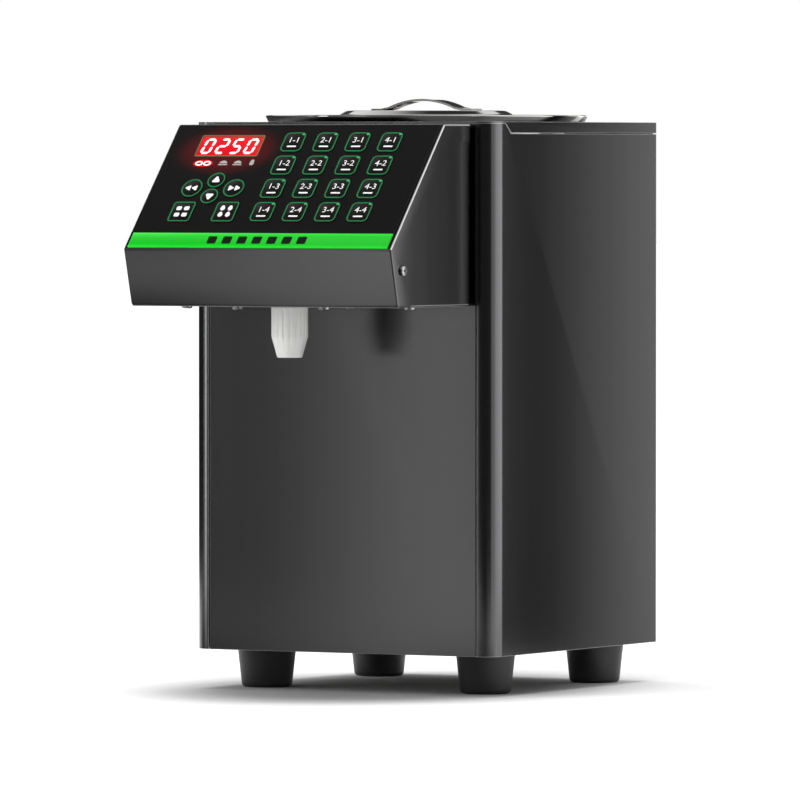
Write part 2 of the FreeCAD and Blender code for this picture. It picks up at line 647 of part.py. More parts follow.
# Head cover: one bent sheet over the top, the sloping keypad face and the chin, with narrow
# flanges that lap over the cheeks of the head frame.
def make_head_cover():
    cover = new_piece("head_cover")
    side = sketch_on(cover, "YZ_Plane")
    polygon(side, [("neck_y", "head_z"), ("head_top_y", "head_z"), ("ridge_y", "ridge_z"),
                   ("chin_y", "chin_z"), ("neck_y", "chin_z")])
    pad(cover, side, "head_width", middle=True)
    width = number("head_width")
    front = number("head_top_y + overrun")
    round_edges(cover, "ridge_round", lambda edge: (
        abs(edge.BoundBox.XLength - width) < NEAR and edge.BoundBox.YMin < front))
    low = number("chin_z")
    back = number("neck_y")
    round_edges(cover, "side_round", lambda edge: (
        edge.BoundBox.XLength < NEAR and edge.BoundBox.YMin < back - NEAR
        and edge.BoundBox.ZMax > low + NEAR))
    inside = sketch_on(cover, "YZ_Plane")
    chin_foot = "chin_y + head_sheet * chin_inset_share + overrun * chin_run / chin_fall"
    polygon(inside, [("neck_y + overrun", "head_z - head_sheet")] + head_corners("head_sheet")
            + [(chin_foot, "chin_z - overrun"), ("neck_y + overrun", "chin_z - overrun")])
    pocket(cover, inside, "2 * cheek_x", middle=True)
    cheek = sketch_on(cover, "YZ_Plane")
    slope = "head_flange / slant_cosine"
    reach = "front_y - chin_flange_reach"
    tilt = "slant_run / slant_fall"
    polygon(cheek, [("neck_y + overrun", "head_z - head_top_flange"),
                    (f"head_top_y - head_top_flange * {tilt} + {slope}",
                     "head_z - head_top_flange"),
                    (reach, f"head_z - (head_top_y + {slope} - ({reach})) / ({tilt})"),
                    (reach, "chin_z - overrun"), ("neck_y + overrun", "chin_z - overrun")])
    pocket(cover, cheek)
    holes = sketch_on_slant(cover)
    for key in key_layout():
        circle(holes, key["x"], key["y"], "stem_radius + stem_clearance")
    rectangle(holes, "window_middle - lens_width / 2", "window_middle + lens_width / 2",
              "-window_row - lens_height / 2", "-window_row + lens_height / 2")
    pocket(cover, holes, "head_sheet + overrun")
    screws = sketch_on(cover, "YZ_Plane")
    circle(screws, "front_y - side_screw_reach", "top_z - side_screw_drop",
           "screw_radius + screw_clearance")
    pocket(cover, screws)


# Head frame: two cheeks and a back wall in one bent sheet, on a neck that stands the head off
# the front panel.
def make_head_frame():
    frame = new_piece("head_frame")
    side = sketch_on(frame, "YZ_Plane")
    chin = "chin_y + head_sheet * chin_inset_share - frame_sheet * chin_run / chin_fall"
    polygon(side, [("neck_y", "head_z - head_sheet")] + head_corners("head_sheet")
            + [(chin, "valve_z"), ("neck_y", "valve_z")])
    pad(frame, side, "2 * cheek_x", middle=True)
    inside = sketch_on(frame, "YZ_Plane")
    rectangle(inside, "ridge_y - overrun", "neck_y - frame_sheet", "chin_z - overrun",
              "head_z + overrun")
    pocket(frame, inside, "2 * (cheek_x - frame_sheet)", middle=True)
    neck = sketch_on(frame, "XZ_Plane", "-neck_y")
    edge = "head_x - neck_inset"
    low = "valve_z + neck_margin"
    high = "head_z - head_sheet - neck_margin"
    rectangle(neck, f"-({edge})", edge, low, high)
    rectangle(neck, f"-({edge}) + frame_sheet", f"{edge} - frame_sheet",
              f"{low} + frame_sheet", f"{high} - frame_sheet")
    pad(frame, neck, "neck_depth + panel_recess", backwards=True)
    window = sketch_on(frame, "XZ_Plane", "-neck_y")
    rectangle(window, "-window_width / 2", "window_width / 2", "top_z - window_bottom",
              "top_z - window_top")
    pocket(frame, window, "2 * frame_sheet", backwards=True)
    screws = sketch_on(frame, "YZ_Plane")
    circle(screws, "front_y - side_screw_reach", "top_z - side_screw_drop",
           "screw_radius + screw_clearance")
    pocket(frame, screws)


# Head bottom: the plate under the head. The valve's spigot comes down through it.
def make_head_bottom():
    plate = new_piece("head_bottom")
    plan = sketch_on(plate, "XY_Plane", "chin_z")
    rectangle(plan, "-cheek_x", "cheek_x", "chin_y + head_sheet * chin_inset_share", "neck_y")
    pad(plate, plan, "frame_sheet")
    holes = sketch_on(plate, "XY_Plane")
    circle(holes, "0", "nozzle_y", "spigot_radius + spigot_gap")
    for x, y in bottom_screw_spots():
        circle(holes, x, y, "screw_radius + screw_clearance")
    pocket(plate, holes)


def key_layout():
    """Every key of the pad: its name, its place on the slope and its outline."""
    keys = []
    columns = round(number("key_columns"))
    for row in range(round(number("key_rows"))):
        for column in range(columns):
            keys.append({"name": f"dose_key_{row * columns + column + 1:02d}",
                         "x": f"key_first_column + {column} * key_column_pitch",
                         "y": f"-(key_first_row + {row} * key_row_pitch)",
                         "block": ("key_width", "key_length", "key_round")})
    for name, x in (("standby_key", "mode_key_left"), ("rinse_key", "mode_key_right")):
        keys.append({"name": name, "x": x, "y": "-mode_key_row",
                     "block": ("mode_key_width", "mode_key_length", "mode_key_round")})
    for name, side in (("left_key", -1), ("right_key", 1)):
        keys.append({"name": name, "x": f"pad_middle + {side} * pad_side_reach",
                     "y": "-pad_row", "disc": "pad_side_radius"})
    for name, side in (("up_key", 1), ("down_key", -1)):
        keys.append({"name": name, "x": "pad_middle",
                     "y": f"-pad_row + {side} * pad_up_reach", "disc": "pad_up_radius"})
    return keys


def key_outline(sketch, key, margin):
    """A key's outline on the slope, widened all round by a margin."""
    if "disc" in key:
        circle(sketch, key["x"], key["y"], f"{key['disc']} + {margin}")
    else:
        width, length, bend = key["block"]
        rounded_rectangle(sketch, key["x"], key["y"], f"{width} + 2 * {margin}",
                          f"{length} + 2 * {margin}", f"{bend} + {margin}")


# Keypad overlay: a printed film on the slope, with a cut-out for every key and the window.
def make_keypad_overlay():
    overlay = new_piece("keypad_overlay")
    put_on_slant(overlay)
    face = sketch_on(overlay, "XY_Plane")
    rectangle(face, "-head_x + overlay_side", "head_x - overlay_side", "-strip_start",
              "-overlay_margin")
    pad(overlay, face, "overlay_thick")
    window = sketch_on(overlay, "XY_Plane", "overlay_thick")
    rectangle(window, "window_middle - lens_width / 2", "window_middle + lens_width / 2",
              "-window_row - lens_height / 2", "-window_row + lens_height / 2")
    pocket(overlay, window)
    for key in key_layout():
        hole = sketch_on(overlay, "XY_Plane", "overlay_thick")
        key_outline(hole, key, "key_gap")
        pocket(overlay, hole)


# Keys: a thin embossed cap level with the film, on a stem that ends just above its switch.
def make_keys():
    for key in key_layout():
        cap = new_piece(key["name"])
        put_on_slant(cap)
        face = sketch_on(cap, "XY_Plane", "key_float")
        key_outline(face, key, "0")
        pad(cap, face, "key_thick")
        crown = number("key_float + key_thick")
        round_edges(cap, "key_edge", lambda edge, level=crown: edge.BoundBox.ZMin > level - NEAR)
        stem = sketch_on(cap, "XY_Plane", "key_float")
        circle(stem, key["x"], key["y"], "stem_radius")
        pad(cap, stem, "key_float - board_face - switch_height - key_travel - plunger_gap",
            backwards=True)


# Colour strip: a narrow plastic bar along the ridge, under the film.
def make_colour_strip():
    strip = new_piece("colour_strip")
    put_on_slant(strip)
    face = sketch_on(strip, "XY_Plane")
    rectangle(face, "-head_x + overlay_side", "head_x - overlay_side", "-strip_end",
              "-strip_start")
    pad(strip, face, "strip_thick")


# Display: a red lens in the film's window, and the block of digits behind it on the board.
def make_display():
    lens = new_piece("display_lens")
    put_on_slant(lens)
    face = sketch_on(lens, "XY_Plane", "overlay_thick")
    rectangle(face, "window_middle - lens_width / 2 + lens_gap",
              "window_middle + lens_width / 2 - lens_gap",
              "-window_row - lens_height / 2 + lens_gap",
              "-window_row + lens_height / 2 - lens_gap")
    pad(lens, face, "lens_thick", backwards=True)
    block = new_piece("display_module")
    put_on_slant(block)
    face = sketch_on(block, "XY_Plane", "board_face")
    rectangle(face, "window_middle - module_width / 2", "window_middle + module_width / 2",
              "-window_row - module_height / 2", "-window_row + module_height / 2")
    pad(block, face, "lens_back - board_face")


# Control board: the circuit board behind the keypad, with its soldered switches and the four
# standoffs that hold it to the inside of the head cover.
def make_control_board():
    board = new_piece("control_board")
    put_on_slant(board)
    face = sketch_on(board, "XY_Plane", "-board_drop")
    rectangle(face, "-board_side", "board_side", "-board_end", "-board_start")
    pad(board, face, "board_thick")
    plungers = sketch_on(board, "XY_Plane", "board_face")
    half = "switch_width / 2"
    for key in key_layout():
        x, y = key["x"], key["y"]
        switch = sketch_on(board, "XY_Plane", "board_face")
        rectangle(switch, f"{x} - {half}", f"{x} + {half}", f"{y} - {half}", f"{y} + {half}")
        pad(board, switch, "switch_body")
        circle(plungers, x, y, "plunger_radius")
    pad(board, plungers, "switch_height")
    standoffs = sketch_on(board, "XY_Plane", "board_face")
    for side in (-1, 1):
        for row in ("-standoff_start", "-standoff_end"):
            circle(standoffs, f"{side} * standoff_side", row, "standoff_radius")
    pad(board, standoffs, "-head_sheet - board_face")


# Tank: a drawn stainless pot hung by its flange under the top cover, with a shallow cone floor
# that drains to a sump.
def make_tank():
    tank = new_piece("tank")
    put(tank, "0", "middle_y")
    outer = "tank_mouth + tank_wall"
    turn_profile(tank, [("tank_mouth", "plate_z"), ("tank_mouth + tank_flange", "plate_z"),
                        ("tank_mouth + tank_flange", "plate_z - tank_wall"),
                        (outer, "plate_z - tank_wall"), (outer, "tank_floor_z"),
                        ("sump_radius", "sump_z"), ("tank_drain", "sump_z"),
                        ("tank_drain", "sump_z + tank_wall"),
                        ("sump_radius", "sump_z + tank_wall"),
                        ("tank_mouth", "tank_floor_z + tank_wall")])


# Heater band: a split ring clamped round the foot of the tank by two lugs.
def make_heater_band():
    band = new_piece("heater_band")
    put(band, "0", "middle_y")
    inner = "tank_mouth + tank_wall + heater_gap"
    outer = f"{inner} + heater_thick"
    low = "tank_floor_z + heater_rise"
    turn_profile(band, [(inner, low), (outer, low), (outer, f"{low} + heater_height"),
                        (inner, f"{low} + heater_height")])
    split = sketch_on(band, "XY_Plane", low)
    rectangle(split, "-heater_split / 2", "heater_split / 2", "0", f"{outer} + overrun")
    pocket(band, split, "heater_height", backwards=True)
    lugs = sketch_on(band, "XY_Plane", f"{low} + (heater_height - heater_lug_height) / 2")
    for side in (-1, 1):
        near = f"{side} * heater_split / 2"
        far = f"{side} * (heater_split / 2 + heater_thick)"
        rectangle(lugs, near, far, f"{outer} - heater_thick", f"{outer} + heater_lug")
    pad(band, lugs, "heater_lug_height")


# Tank outlet: a plastic elbow under the sump that turns forward into a hose barb.
def make_tank_outlet():
    elbow = new_piece("tank_outlet")
    put(elbow, "0", "middle_y")
    foot = "sump_z - elbow_height"
    turn_profile(elbow, [("0", "sump_z"), ("elbow_plate_radius", "sump_z"),
                         ("elbow_plate_radius", "sump_z - elbow_plate"),
                         ("elbow_radius", "sump_z - elbow_plate"), ("elbow_radius", foot),
                         ("0", foot)])
    arm = sketch_on(elbow, "XZ_Plane")
    circle(arm, "0", "elbow_z", "elbow_arm")
    pad(elbow, arm, "elbow_arm_length")
    barb = sketch_on(elbow, "XZ_Plane")
    circle(barb, "0", "elbow_z", "spigot_wall_radius")
    pad(elbow, barb, "elbow_arm_length + barb_length")
    drain = sketch_on(elbow, "XY_Plane", "sump_z")
    circle(drain, "0", "0", "tank_drain")
    pocket(elbow, drain, "elbow_drop + tank_drain")
    bore = sketch_on(elbow, "XZ_Plane", "elbow_arm_length + barb_length")
    circle(bore, "0", "elbow_z", "barb_bore")
    pocket(elbow, bore, "elbow_arm_length + barb_length")


def hose_path(sketch, corners, bends):
    """Level and upright runs joined by tangent arcs, from corner points and bend radii."""
    spots = [Vector(number(y), number(z), 0) for y, z in corners]
    ends = []
    for place, (y, z) in enumerate(corners):
        near = far = (y, z)
        if 0 < place < len(corners) - 1:
            bend = bends[place - 1]
            back = spots[place - 1] - spots[place]
            ahead = spots[place + 1] - spots[place]
            near, far = [(f"{y} + {sign(way.x)} * {bend}", f"{z} + {sign(way.y)} * {bend}")
                         for way in (back, ahead)]
        ends.append((near, far))
    lines = []
    for (_, start), (finish, _) in zip(ends, ends[1:]):
        here, there = [Vector(number(y), number(z), 0) for y, z in (start, finish)]
        line = sketch.addGeometry(Part.LineSegment(here, there), False)
        pin_point(sketch, line, START, *start)
        pin_point(sketch, line, END, *finish)
        lines.append(line)
    for place, (before, after) in enumerate(zip(lines, lines[1:])):
        begin = sketch.getPoint(before, END)
        finish = sketch.getPoint(after, START)
        corner = spots[place + 1]
        centre = begin + finish - corner
        middle = centre + (corner - centre).normalize() * (begin - centre).Length
        arc = sketch.addGeometry(Part.Arc(begin, middle, finish), False)
        turned_left = (begin - centre).cross(finish - centre).z > 0
        first, last = (START, END) if turned_left else (END, START)
        sketch.addConstraint(Sketcher.Constraint("Tangent", before, END, arc, first))
        sketch.addConstraint(Sketcher.Constraint("Coincident", arc, last, after, START))


def sign(value):
    """The direction of a run along one axis: -1, 0 or 1."""
    return (value > NEAR) - (value < -NEAR)


def make_hose(label, corners, bends, start_y, start_z):
    """A soft hose along a path in the machine's middle plane, slipped over a barb at each end."""
    hose = new_piece(label)
    path = sketch_on(hose, "YZ_Plane")
    hose_path(path, corners, bends)
    ring = sketch_on(hose, "XZ_Plane", f"-({start_y})")
    circle(ring, "0", start_z, "hose_radius")
    circle(ring, "0", start_z, "hose_bore")
    rebuilt(path, ring)
    pipe = hose.newObject("PartDesign::AdditivePipe", label + "_pipe")
    pipe.Profile = ring
    pipe.Spine = (path, [f"Edge{place + 1}" for place in range(len(path.Shape.Edges))])
    rebuilt(pipe)
    section = math.pi * (number("hose_radius") ** 2 - number("hose_bore") ** 2)
    print(label, "volume over section times length:",
          round(pipe.Shape.Volume / section / path.Shape.Length, 4))


# Hoses: one from the tank outlet down to the pump, one from the pump up behind the front
# panel and over into the head.
def make_hoses():
    start_y = "middle_y - elbow_arm_length - hose_gap"
    make_hose("inlet_hose",
              [(start_y, "elbow_z"), ("port_y", "elbow_z"), ("port_y", "pump_top_z + hose_gap")],
              ["inlet_bend"], start_y, "elbow_z")
    start_y = "pump_y - hose_gap"
    make_hose("outlet_hose",
              [(start_y, "hose_port_z"), ("rise_y", "hose_port_z"), ("rise_y", "head_hose_z"),
               ("nozzle_y", "head_hose_z"), ("nozzle_y", "valve_z + valve_height + hose_gap")],
              ["rise_bend", "head_bend", "head_bend"], start_y, "hose_port_z")


# Pump body: a block with the cavity of the two gears, their bearings and the inlet barb.
def make_pump_body():
    block = new_piece("pump_body")
    face = sketch_on(block, "XZ_Plane", "-pump_body_y")
    rounded_rectangle(face, "0", "pump_z", "2 * pump_half_width", "2 * pump_half_height",
                      "pump_round")
    pad(block, face, "cavity_depth + pump_back_wall", backwards=True)
    barb = sketch_on(block, "XY_Plane", "pump_top_z")
    circle(barb, "0", "port_y", "spigot_wall_radius")
    pad(block, barb, "barb_length")
    for side in (-1, 1):
        chamber = sketch_on(block, "XZ_Plane", "-pump_body_y")
        circle(chamber, f"{side} * gear_x", "pump_z", "gear_tip + cavity_gap")
        pocket(block, chamber, "cavity_depth")
    bore = sketch_on(block, "XY_Plane", "pump_top_z + barb_length")
    circle(bore, "0", "port_y", "barb_bore")
    pocket(block, bore, "barb_length + pump_half_height")
    bearing = sketch_on(block, "XZ_Plane", "-cavity_end_y")
    circle(bearing, "-gear_x", "pump_z", "shaft_radius + shaft_fit")
    pocket(block, bearing, "bearing_depth")
    shaft = sketch_on(block, "XZ_Plane", "-cavity_end_y")
    circle(shaft, "gear_x", "pump_z", "shaft_radius + shaft_fit")
    pocket(block, shaft, "pump_back_wall + overrun")


# Pump cover: the plate over the gears, with two blind bearings and the outlet barb.
def make_pump_cover():
    cover = new_piece("pump_cover")
    face = sketch_on(cover, "XZ_Plane", "-pump_y")
    rounded_rectangle(face, "0", "pump_z", "2 * pump_half_width", "2 * pump_half_height",
                      "pump_round")
    pad(cover, face, "pump_cover_thick", backwards=True)
    barb = sketch_on(cover, "XZ_Plane", "-pump_y")
    circle(barb, "0", "hose_port_z", "spigot_wall_radius")
    pad(cover, barb, "barb_length")
    bearings = sketch_on(cover, "XZ_Plane", "-pump_body_y")
    for side in (-1, 1):
        circle(bearings, f"{side} * gear_x", "pump_z", "shaft_radius + shaft_fit")
    pocket(cover, bearings, "bearing_depth", backwards=True)
    bore = sketch_on(cover, "XZ_Plane", "barb_length - pump_y")
    circle(bore, "0", "hose_port_z", "barb_bore")
    pocket(cover, bore, "barb_length + pump_cover_thick")


# Pump gears: a toothed wheel on its own shaft. The drive shaft reaches on into the motor.
def make_gear(label, side, shaft_tail, phase):
    gear = new_piece(label)
    width = "(cavity_depth - 2 * gear_face_gap)"
    disc = sketch_on(gear, "XY_Plane")
    circle(disc, "0", "0", "gear_root")
    pad(gear, disc, width)
    tooth = sketch_on(gear, "XY_Plane")
    tooth.AttachmentOffset.Rotation = FreeCAD.Rotation(Vector(0, 0, 1), number(phase))
    bind(tooth, AttachmentOffset__Rotation__Angle=phase)
    polygon(tooth, [("gear_root / 2", "-tooth_root_half"), ("gear_root", "-tooth_root_half"),
                    ("gear_tip", "-tooth_tip_half"), ("gear_tip", "tooth_tip_half"),
                    ("gear_root", "tooth_root_half"), ("gear_root / 2", "tooth_root_half")])
    polar_pattern(gear, pad(gear, tooth, width), "gear_teeth")
    front = "gear_face_gap + bearing_depth - shaft_end_gap"
    shaft = sketch_on(gear, "XY_Plane", f"-({front})")
    circle(shaft, "0", "0", "shaft_radius")
    pad(gear, shaft, f"{front} + {width} + gear_face_gap + {shaft_tail} - shaft_end_gap")
    put(gear, f"{side} * gear_x", "pump_body_y + gear_face_gap", "pump_z",
        Vector(1, 0, 0), "-90")


def make_pump_gears():
    make_gear("drive_gear", 1, "pump_back_wall + bracket_sheet + motor_socket", "0")
    make_gear("driven_gear", -1, "bearing_depth", "180 / gear_teeth")


# Gear motor: a can motor behind its gearbox, with a bore in front that takes the drive shaft.
def make_gear_motor():
    motor = new_piece("gear_motor")
    bore = "shaft_radius + shaft_fit"
    end = "gearbox_length + motor_length"
    turn_profile(motor, [(bore, "0"), ("gearbox_radius", "0"),
                         ("gearbox_radius", "gearbox_length"),
                         ("motor_radius", "gearbox_length"), ("motor_radius", end),
                         ("motor_cap_radius", end), ("motor_cap_radius", f"{end} + motor_cap"),
                         ("0", f"{end} + motor_cap"), ("0", "motor_socket"),
                         (bore, "motor_socket")])
    put(motor, "gear_x", "motor_y", "pump_z", Vector(1, 0, 0), "-90")


# Pump bracket: an angle on the tray, between the pump and its motor.
def make_pump_bracket():
    bracket = new_piece("pump_bracket")
    side = sketch_on(bracket, "YZ_Plane")
    polygon(side, [("bracket_y", "tray_top_z"), ("bracket_y + bracket_foot", "tray_top_z"),
                   ("bracket_y + bracket_foot", "tray_top_z + bracket_sheet"),
                   ("motor_y", "tray_top_z + bracket_sheet"),
                   ("motor_y", "pump_top_z + bracket_top"),
                   ("bracket_y", "pump_top_z + bracket_top")])
    pad(bracket, side, "2 * bracket_half_width", middle=True)
    hole = sketch_on(bracket, "XZ_Plane")
    circle(hole, "gear_x", "pump_z", "shaft_hole")
    pocket(bracket, hole)


# Power supply: a closed steel box on the tray with its terminal strip in front.
def make_power_supply():
    supply = new_piece("power_supply")
    front = "front_y + supply_front"
    plan = sketch_on(supply, "XY_Plane", "tray_top_z")
    rectangle(plan, "supply_side", "supply_side + supply_width", front,
              f"{front} + supply_length")
    pad(supply, plan, "supply_height")
    crown = number("tray_top_z + supply_height")
    round_edges(supply, "supply_round", lambda edge: edge.BoundBox.ZMin > crown - NEAR)
    strip = sketch_on(supply, "XY_Plane", "tray_top_z")
    inset = "(supply_width - terminal_width) / 2"
    rectangle(strip, f"supply_side + {inset}", f"supply_side + supply_width - {inset}",
              f"{front} - terminal_depth", front)
    pad(supply, strip, "terminal_height")


# Power inlet: a moulded inlet for a loose mains lead, in one housing with the power rocker.
def make_power_inlet():
    inlet = new_piece("power_inlet")
    flange = sketch_on(inlet, "XZ_Plane", "-(rear_y - sheet)")
    rounded_rectangle(flange, "inlet_side", "inlet_z", "inlet_flange_width",
                      "inlet_flange_height", "inlet_round")
    pad(inlet, flange, "inlet_flange", backwards=True)
    housing = sketch_on(inlet, "XZ_Plane", "-(rear_y - sheet)")
    rounded_rectangle(housing, "inlet_side", "inlet_z", "inlet_body_width",
                      "inlet_body_height", "inlet_round")
    pad(inlet, housing, "inlet_body_depth")
    socket = sketch_on(inlet, "XZ_Plane", "-inlet_face_y")
    rounded_rectangle(socket, "inlet_side", "inlet_z - socket_drop", "socket_width",
                      "socket_height", "socket_round")
    pocket(inlet, socket, "socket_deep", backwards=True)
    pins = sketch_on(inlet, "XZ_Plane", "socket_deep - inlet_face_y")
    for side, rise in ((-1, -1), (0, 1), (1, -1)):
        x = f"inlet_side + {side} * pin_pitch"
        z = f"inlet_z - socket_drop + {rise} * pin_raise"
        rectangle(pins, f"{x} - pin_thick / 2", f"{x} + pin_thick / 2",
                  f"{z} - pin_width / 2", f"{z} + pin_width / 2")
    pad(inlet, pins, "pin_length", backwards=True)
    well = sketch_on(inlet, "XZ_Plane", "-inlet_face_y")
    x, z = "inlet_side", "inlet_z + rocker_raise"
    rectangle(well, f"{x} - rocker_width / 2", f"{x} + rocker_width / 2",
              f"{z} - rocker_height / 2", f"{z} + rocker_height / 2")
    pocket(inlet, well, "rocker_depth", backwards=True)
    pivots = sketch_on(inlet, "XY_Plane", z)
    circle(pivots, x, "inlet_face_y - rocker_pivot", "rocker_pin + pin_fit")
    pocket(inlet, pivots, "rocker_height + 2 * pin_run + 2 * pin_fit", middle=True)


# Power rocker: a shallow V on two pivot pins, at rest with its left half pushed out.
def make_power_rocker():
    rocker = new_piece("power_rocker")
    plan = sketch_on(rocker, "XY_Plane")
    half = "rocker_width / 2 - rocker_gap"
    polygon(plan, [(f"-({half})", "-rocker_back"), (half, "-rocker_back"),
                   (half, "rocker_face + rocker_rise"), ("0", "rocker_face"),
                   (f"-({half})", "rocker_face + rocker_rise")])
    pad(rocker, plan, "rocker_height - 2 * rocker_end_gap", middle=True)
    pin = sketch_on(rocker, "XY_Plane")
    circle(pin, "0", "0", "rocker_pin")
    pad(rocker, pin, "rocker_height + 2 * pin_run", middle=True)
    put(rocker, "inlet_side", "inlet_face_y - rocker_pivot", "inlet_z + rocker_raise",
        Vector(0, 0, 1), "-rocker_tilt")


# Valve body: the anti-drip valve on the head bottom, with a hose barb above, the spring
# chamber inside and the spigot that carries the nozzle.
def make_valve_body():
    valve = new_piece("valve_body")
    put(valve, "0", "nozzle_y", "valve_z")
    foot = "-(frame_sheet + spigot_length)"
    top = "valve_height + barb_length"
    turn_profile(valve, [("outlet_bore", foot), ("spigot_radius", foot), ("spigot_radius", "0"),
                         ("valve_radius", "0"), ("valve_radius", "valve_height"),
                         ("spigot_wall_radius", "valve_height"), ("spigot_wall_radius", top),
                         ("barb_bore", top), ("barb_bore", "valve_height"),
                         ("seat_bore", "valve_height"), ("seat_bore", "valve_ceiling"),
                         ("valve_bore", "valve_ceiling"), ("valve_bore", "valve_floor"),
                         ("outlet_bore", "valve_floor")])


# Valve poppet and spring: the spring holds the poppet up against its seat until the pump runs.
def make_valve_parts():
    rim_top = "valve_ceiling - poppet_gap"
    rim_low = f"{rim_top} - poppet_rim"
    poppet = new_piece("valve_poppet")
    put(poppet, "0", "nozzle_y", "valve_z")
    turn_profile(poppet, [("0", f"{rim_low} - poppet_stem_length"),
                          ("poppet_stem", f"{rim_low} - poppet_stem_length"),
                          ("poppet_stem", rim_low), ("poppet_radius", rim_low),
                          ("poppet_radius", rim_top), ("poppet_stem", rim_top),
                          ("poppet_stem", f"{rim_top} + poppet_nose"),
                          ("0", f"{rim_top} + poppet_nose")])
    spring = new_piece("valve_spring")
    put(spring, "0", "nozzle_y", "valve_z")
    wire = sketch_on(spring, "XZ_Plane")
    foot = "valve_floor + spring_gap + spring_wire"
    circle(wire, "spring_radius", foot, "spring_wire")
    coil = spring.newObject("PartDesign::AdditiveHelix", "valve_spring_coil")
    coil.Profile = wire
    coil.ReferenceAxis = (wire, ["V_Axis"])
    coil.Mode = "height-turns-angle"
    bind(coil, Height=f"{rim_low} - spring_gap - spring_wire - ({foot})",
         Turns="spring_turns")
    rebuilt(wire, coil)


# Nozzle: a fluted white screw cap with a conical tip, hand-tightened on the valve's spigot.
def make_nozzle():
    nozzle = new_piece("nozzle")
    put(nozzle, "0", "nozzle_y", "chin_z")
    tip = "-(nozzle_barrel + nozzle_cone)"
    seat = "-(spigot_length + spigot_gap)"
    socket = "spigot_radius + spigot_gap"
    turn_profile(nozzle, [(socket, "-nozzle_gap"), ("nozzle_radius", "-nozzle_gap"),
                          ("nozzle_radius", "-nozzle_barrel"), ("nozzle_tip", tip),
                          ("nozzle_bore", tip), ("nozzle_bore", seat), (socket, seat)])
    flute = sketch_on(nozzle, "XY_Plane", "-flute_start")
    circle(flute, "nozzle_radius + flute_width / 2 - flute_depth", "0", "flute_width / 2")
    cut = pocket(nozzle, flute, "nozzle_barrel - flute_start")
    polar_pattern(nozzle, cut, "flute_count")


# Lid: a pressed stainless disc with a raised middle and a shallow finger dish.
def make_lid():
    lid = new_piece("lid")
    put(lid, "0", "middle_y", "top_z")
    rim = "lid_radius - lid_taper"
    turn_profile(lid, [(rim, "lid_gap"), ("lid_radius", "lid_rim"), ("lid_cone_foot", "lid_rim"),
                       ("lid_cone_top", "lid_top"), ("dish_radius", "lid_top"),
                       ("dish_floor", "lid_top - dish_drop"), ("0", "lid_top - dish_drop"),
                       ("0", "lid_top - dish_drop - lid_sheet"),
                       ("dish_floor", "lid_top - dish_drop - lid_sheet"),
                       ("dish_radius", "lid_top - lid_sheet"),
                       ("lid_cone_top", "lid_top - lid_sheet"),
                       ("lid_cone_foot", "lid_rim - lid_sheet"),
                       ("lid_radius - lid_sheet", "lid_rim - lid_sheet"),
                       (f"{rim} - lid_sheet", "lid_gap")])
    reach = number("lid_radius")
    round_edges(lid, "lid_edge", lambda edge: abs(edge.BoundBox.XMax - reach) < NEAR)
    seal = new_piece("lid_seal")
    put(seal, "0", "middle_y", "top_z")
    lip_top = "seal_lip_height - seal_drop + seal_wall"
    lip_low = "seal_wall - seal_drop"
    turn_profile(seal, [("seal_outer - seal_wall", "-seal_drop"), ("seal_outer", "-seal_drop"),
                        ("seal_outer", lip_low), ("seal_outer + seal_lip", lip_low),
                        ("seal_outer + seal_lip", lip_top), ("seal_outer", lip_top),
                        ("seal_outer", "lid_rim - lid_sheet"),
                        ("seal_outer - seal_wall", "lid_rim - lid_sheet")])


# Lid handle: a flat steel strap bent to a low arch, spot-welded to the lid by its two ends.
def make_lid_handle():
    handle = new_piece("lid_handle")
    put(handle, "0", "middle_y", "top_z")
    arch = sketch_on(handle, "XZ_Plane")
    circle(arch, "0", "handle_centre", "handle_radius")
    circle(arch, "0", "handle_centre", "handle_radius - handle_thick")
    pad(handle, arch, "handle_width", middle=True)
    below = sketch_on(handle, "XZ_Plane")
    reach = "handle_radius + overrun"
    rectangle(below, f"-({reach})", reach, "handle_centre - handle_radius - overrun", "lid_top")
    pocket(handle, below)
    ends = sketch_on(handle, "XZ_Plane")
    for side in (-1, 1):
        rectangle(ends, f"{side} * (handle_span / 2 - 2 * handle_thick)",
                  f"{side} * (handle_span / 2 + handle_foot)", "lid_top",
                  "lid_top + handle_thick")
    pad(handle, ends, "handle_width", middle=True)


make_side_panels()
make_top_cover()
make_front_panel()
make_rear_cover()
make_base_tray()
make_feet()
make_panel_screws()
make_head_cover()
make_head_frame()
make_head_bottom()
make_keypad_overlay()
make_keys()
make_colour_strip()
make_display()
make_control_board()
make_tank()
make_heater_band()
make_tank_outlet()
make_hoses()
make_pump_body()
make_pump_cover()
make_pump_gears()
make_gear_motor()
make_pump_bracket()
make_power_supply()
make_power_inlet()
make_power_rocker()
make_valve_body()
make_valve_parts()
make_nozzle()
make_lid()
make_lid_handle()
doc.recompute()

for thing in doc.Objects:
    if "Invalid" in thing.State or "Error" in thing.State:
        raise RuntimeError(f"{thing.Label} did not build: {thing.State}")
    if thing.TypeId == "PartDesign::Pocket":
        if thing.Shape.Volume >= thing.BaseFeature.Shape.Volume - NEAR:
            raise RuntimeError(f"{thing.Label} cuts nothing")

os.makedirs("parts", exist_ok=True)
for sub_part in sub_parts:
    shape = sub_part.Shape
    if shape.isNull() or not shape.isValid():
        raise RuntimeError(f"{sub_part.Label} has no valid shape")
    shape.exportStep(f"parts/{sub_part.Label}.step")
print(len(sub_parts), "sub-parts written")
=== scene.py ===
import math

import bmesh
import bpy
from mathutils import Matrix, Vector


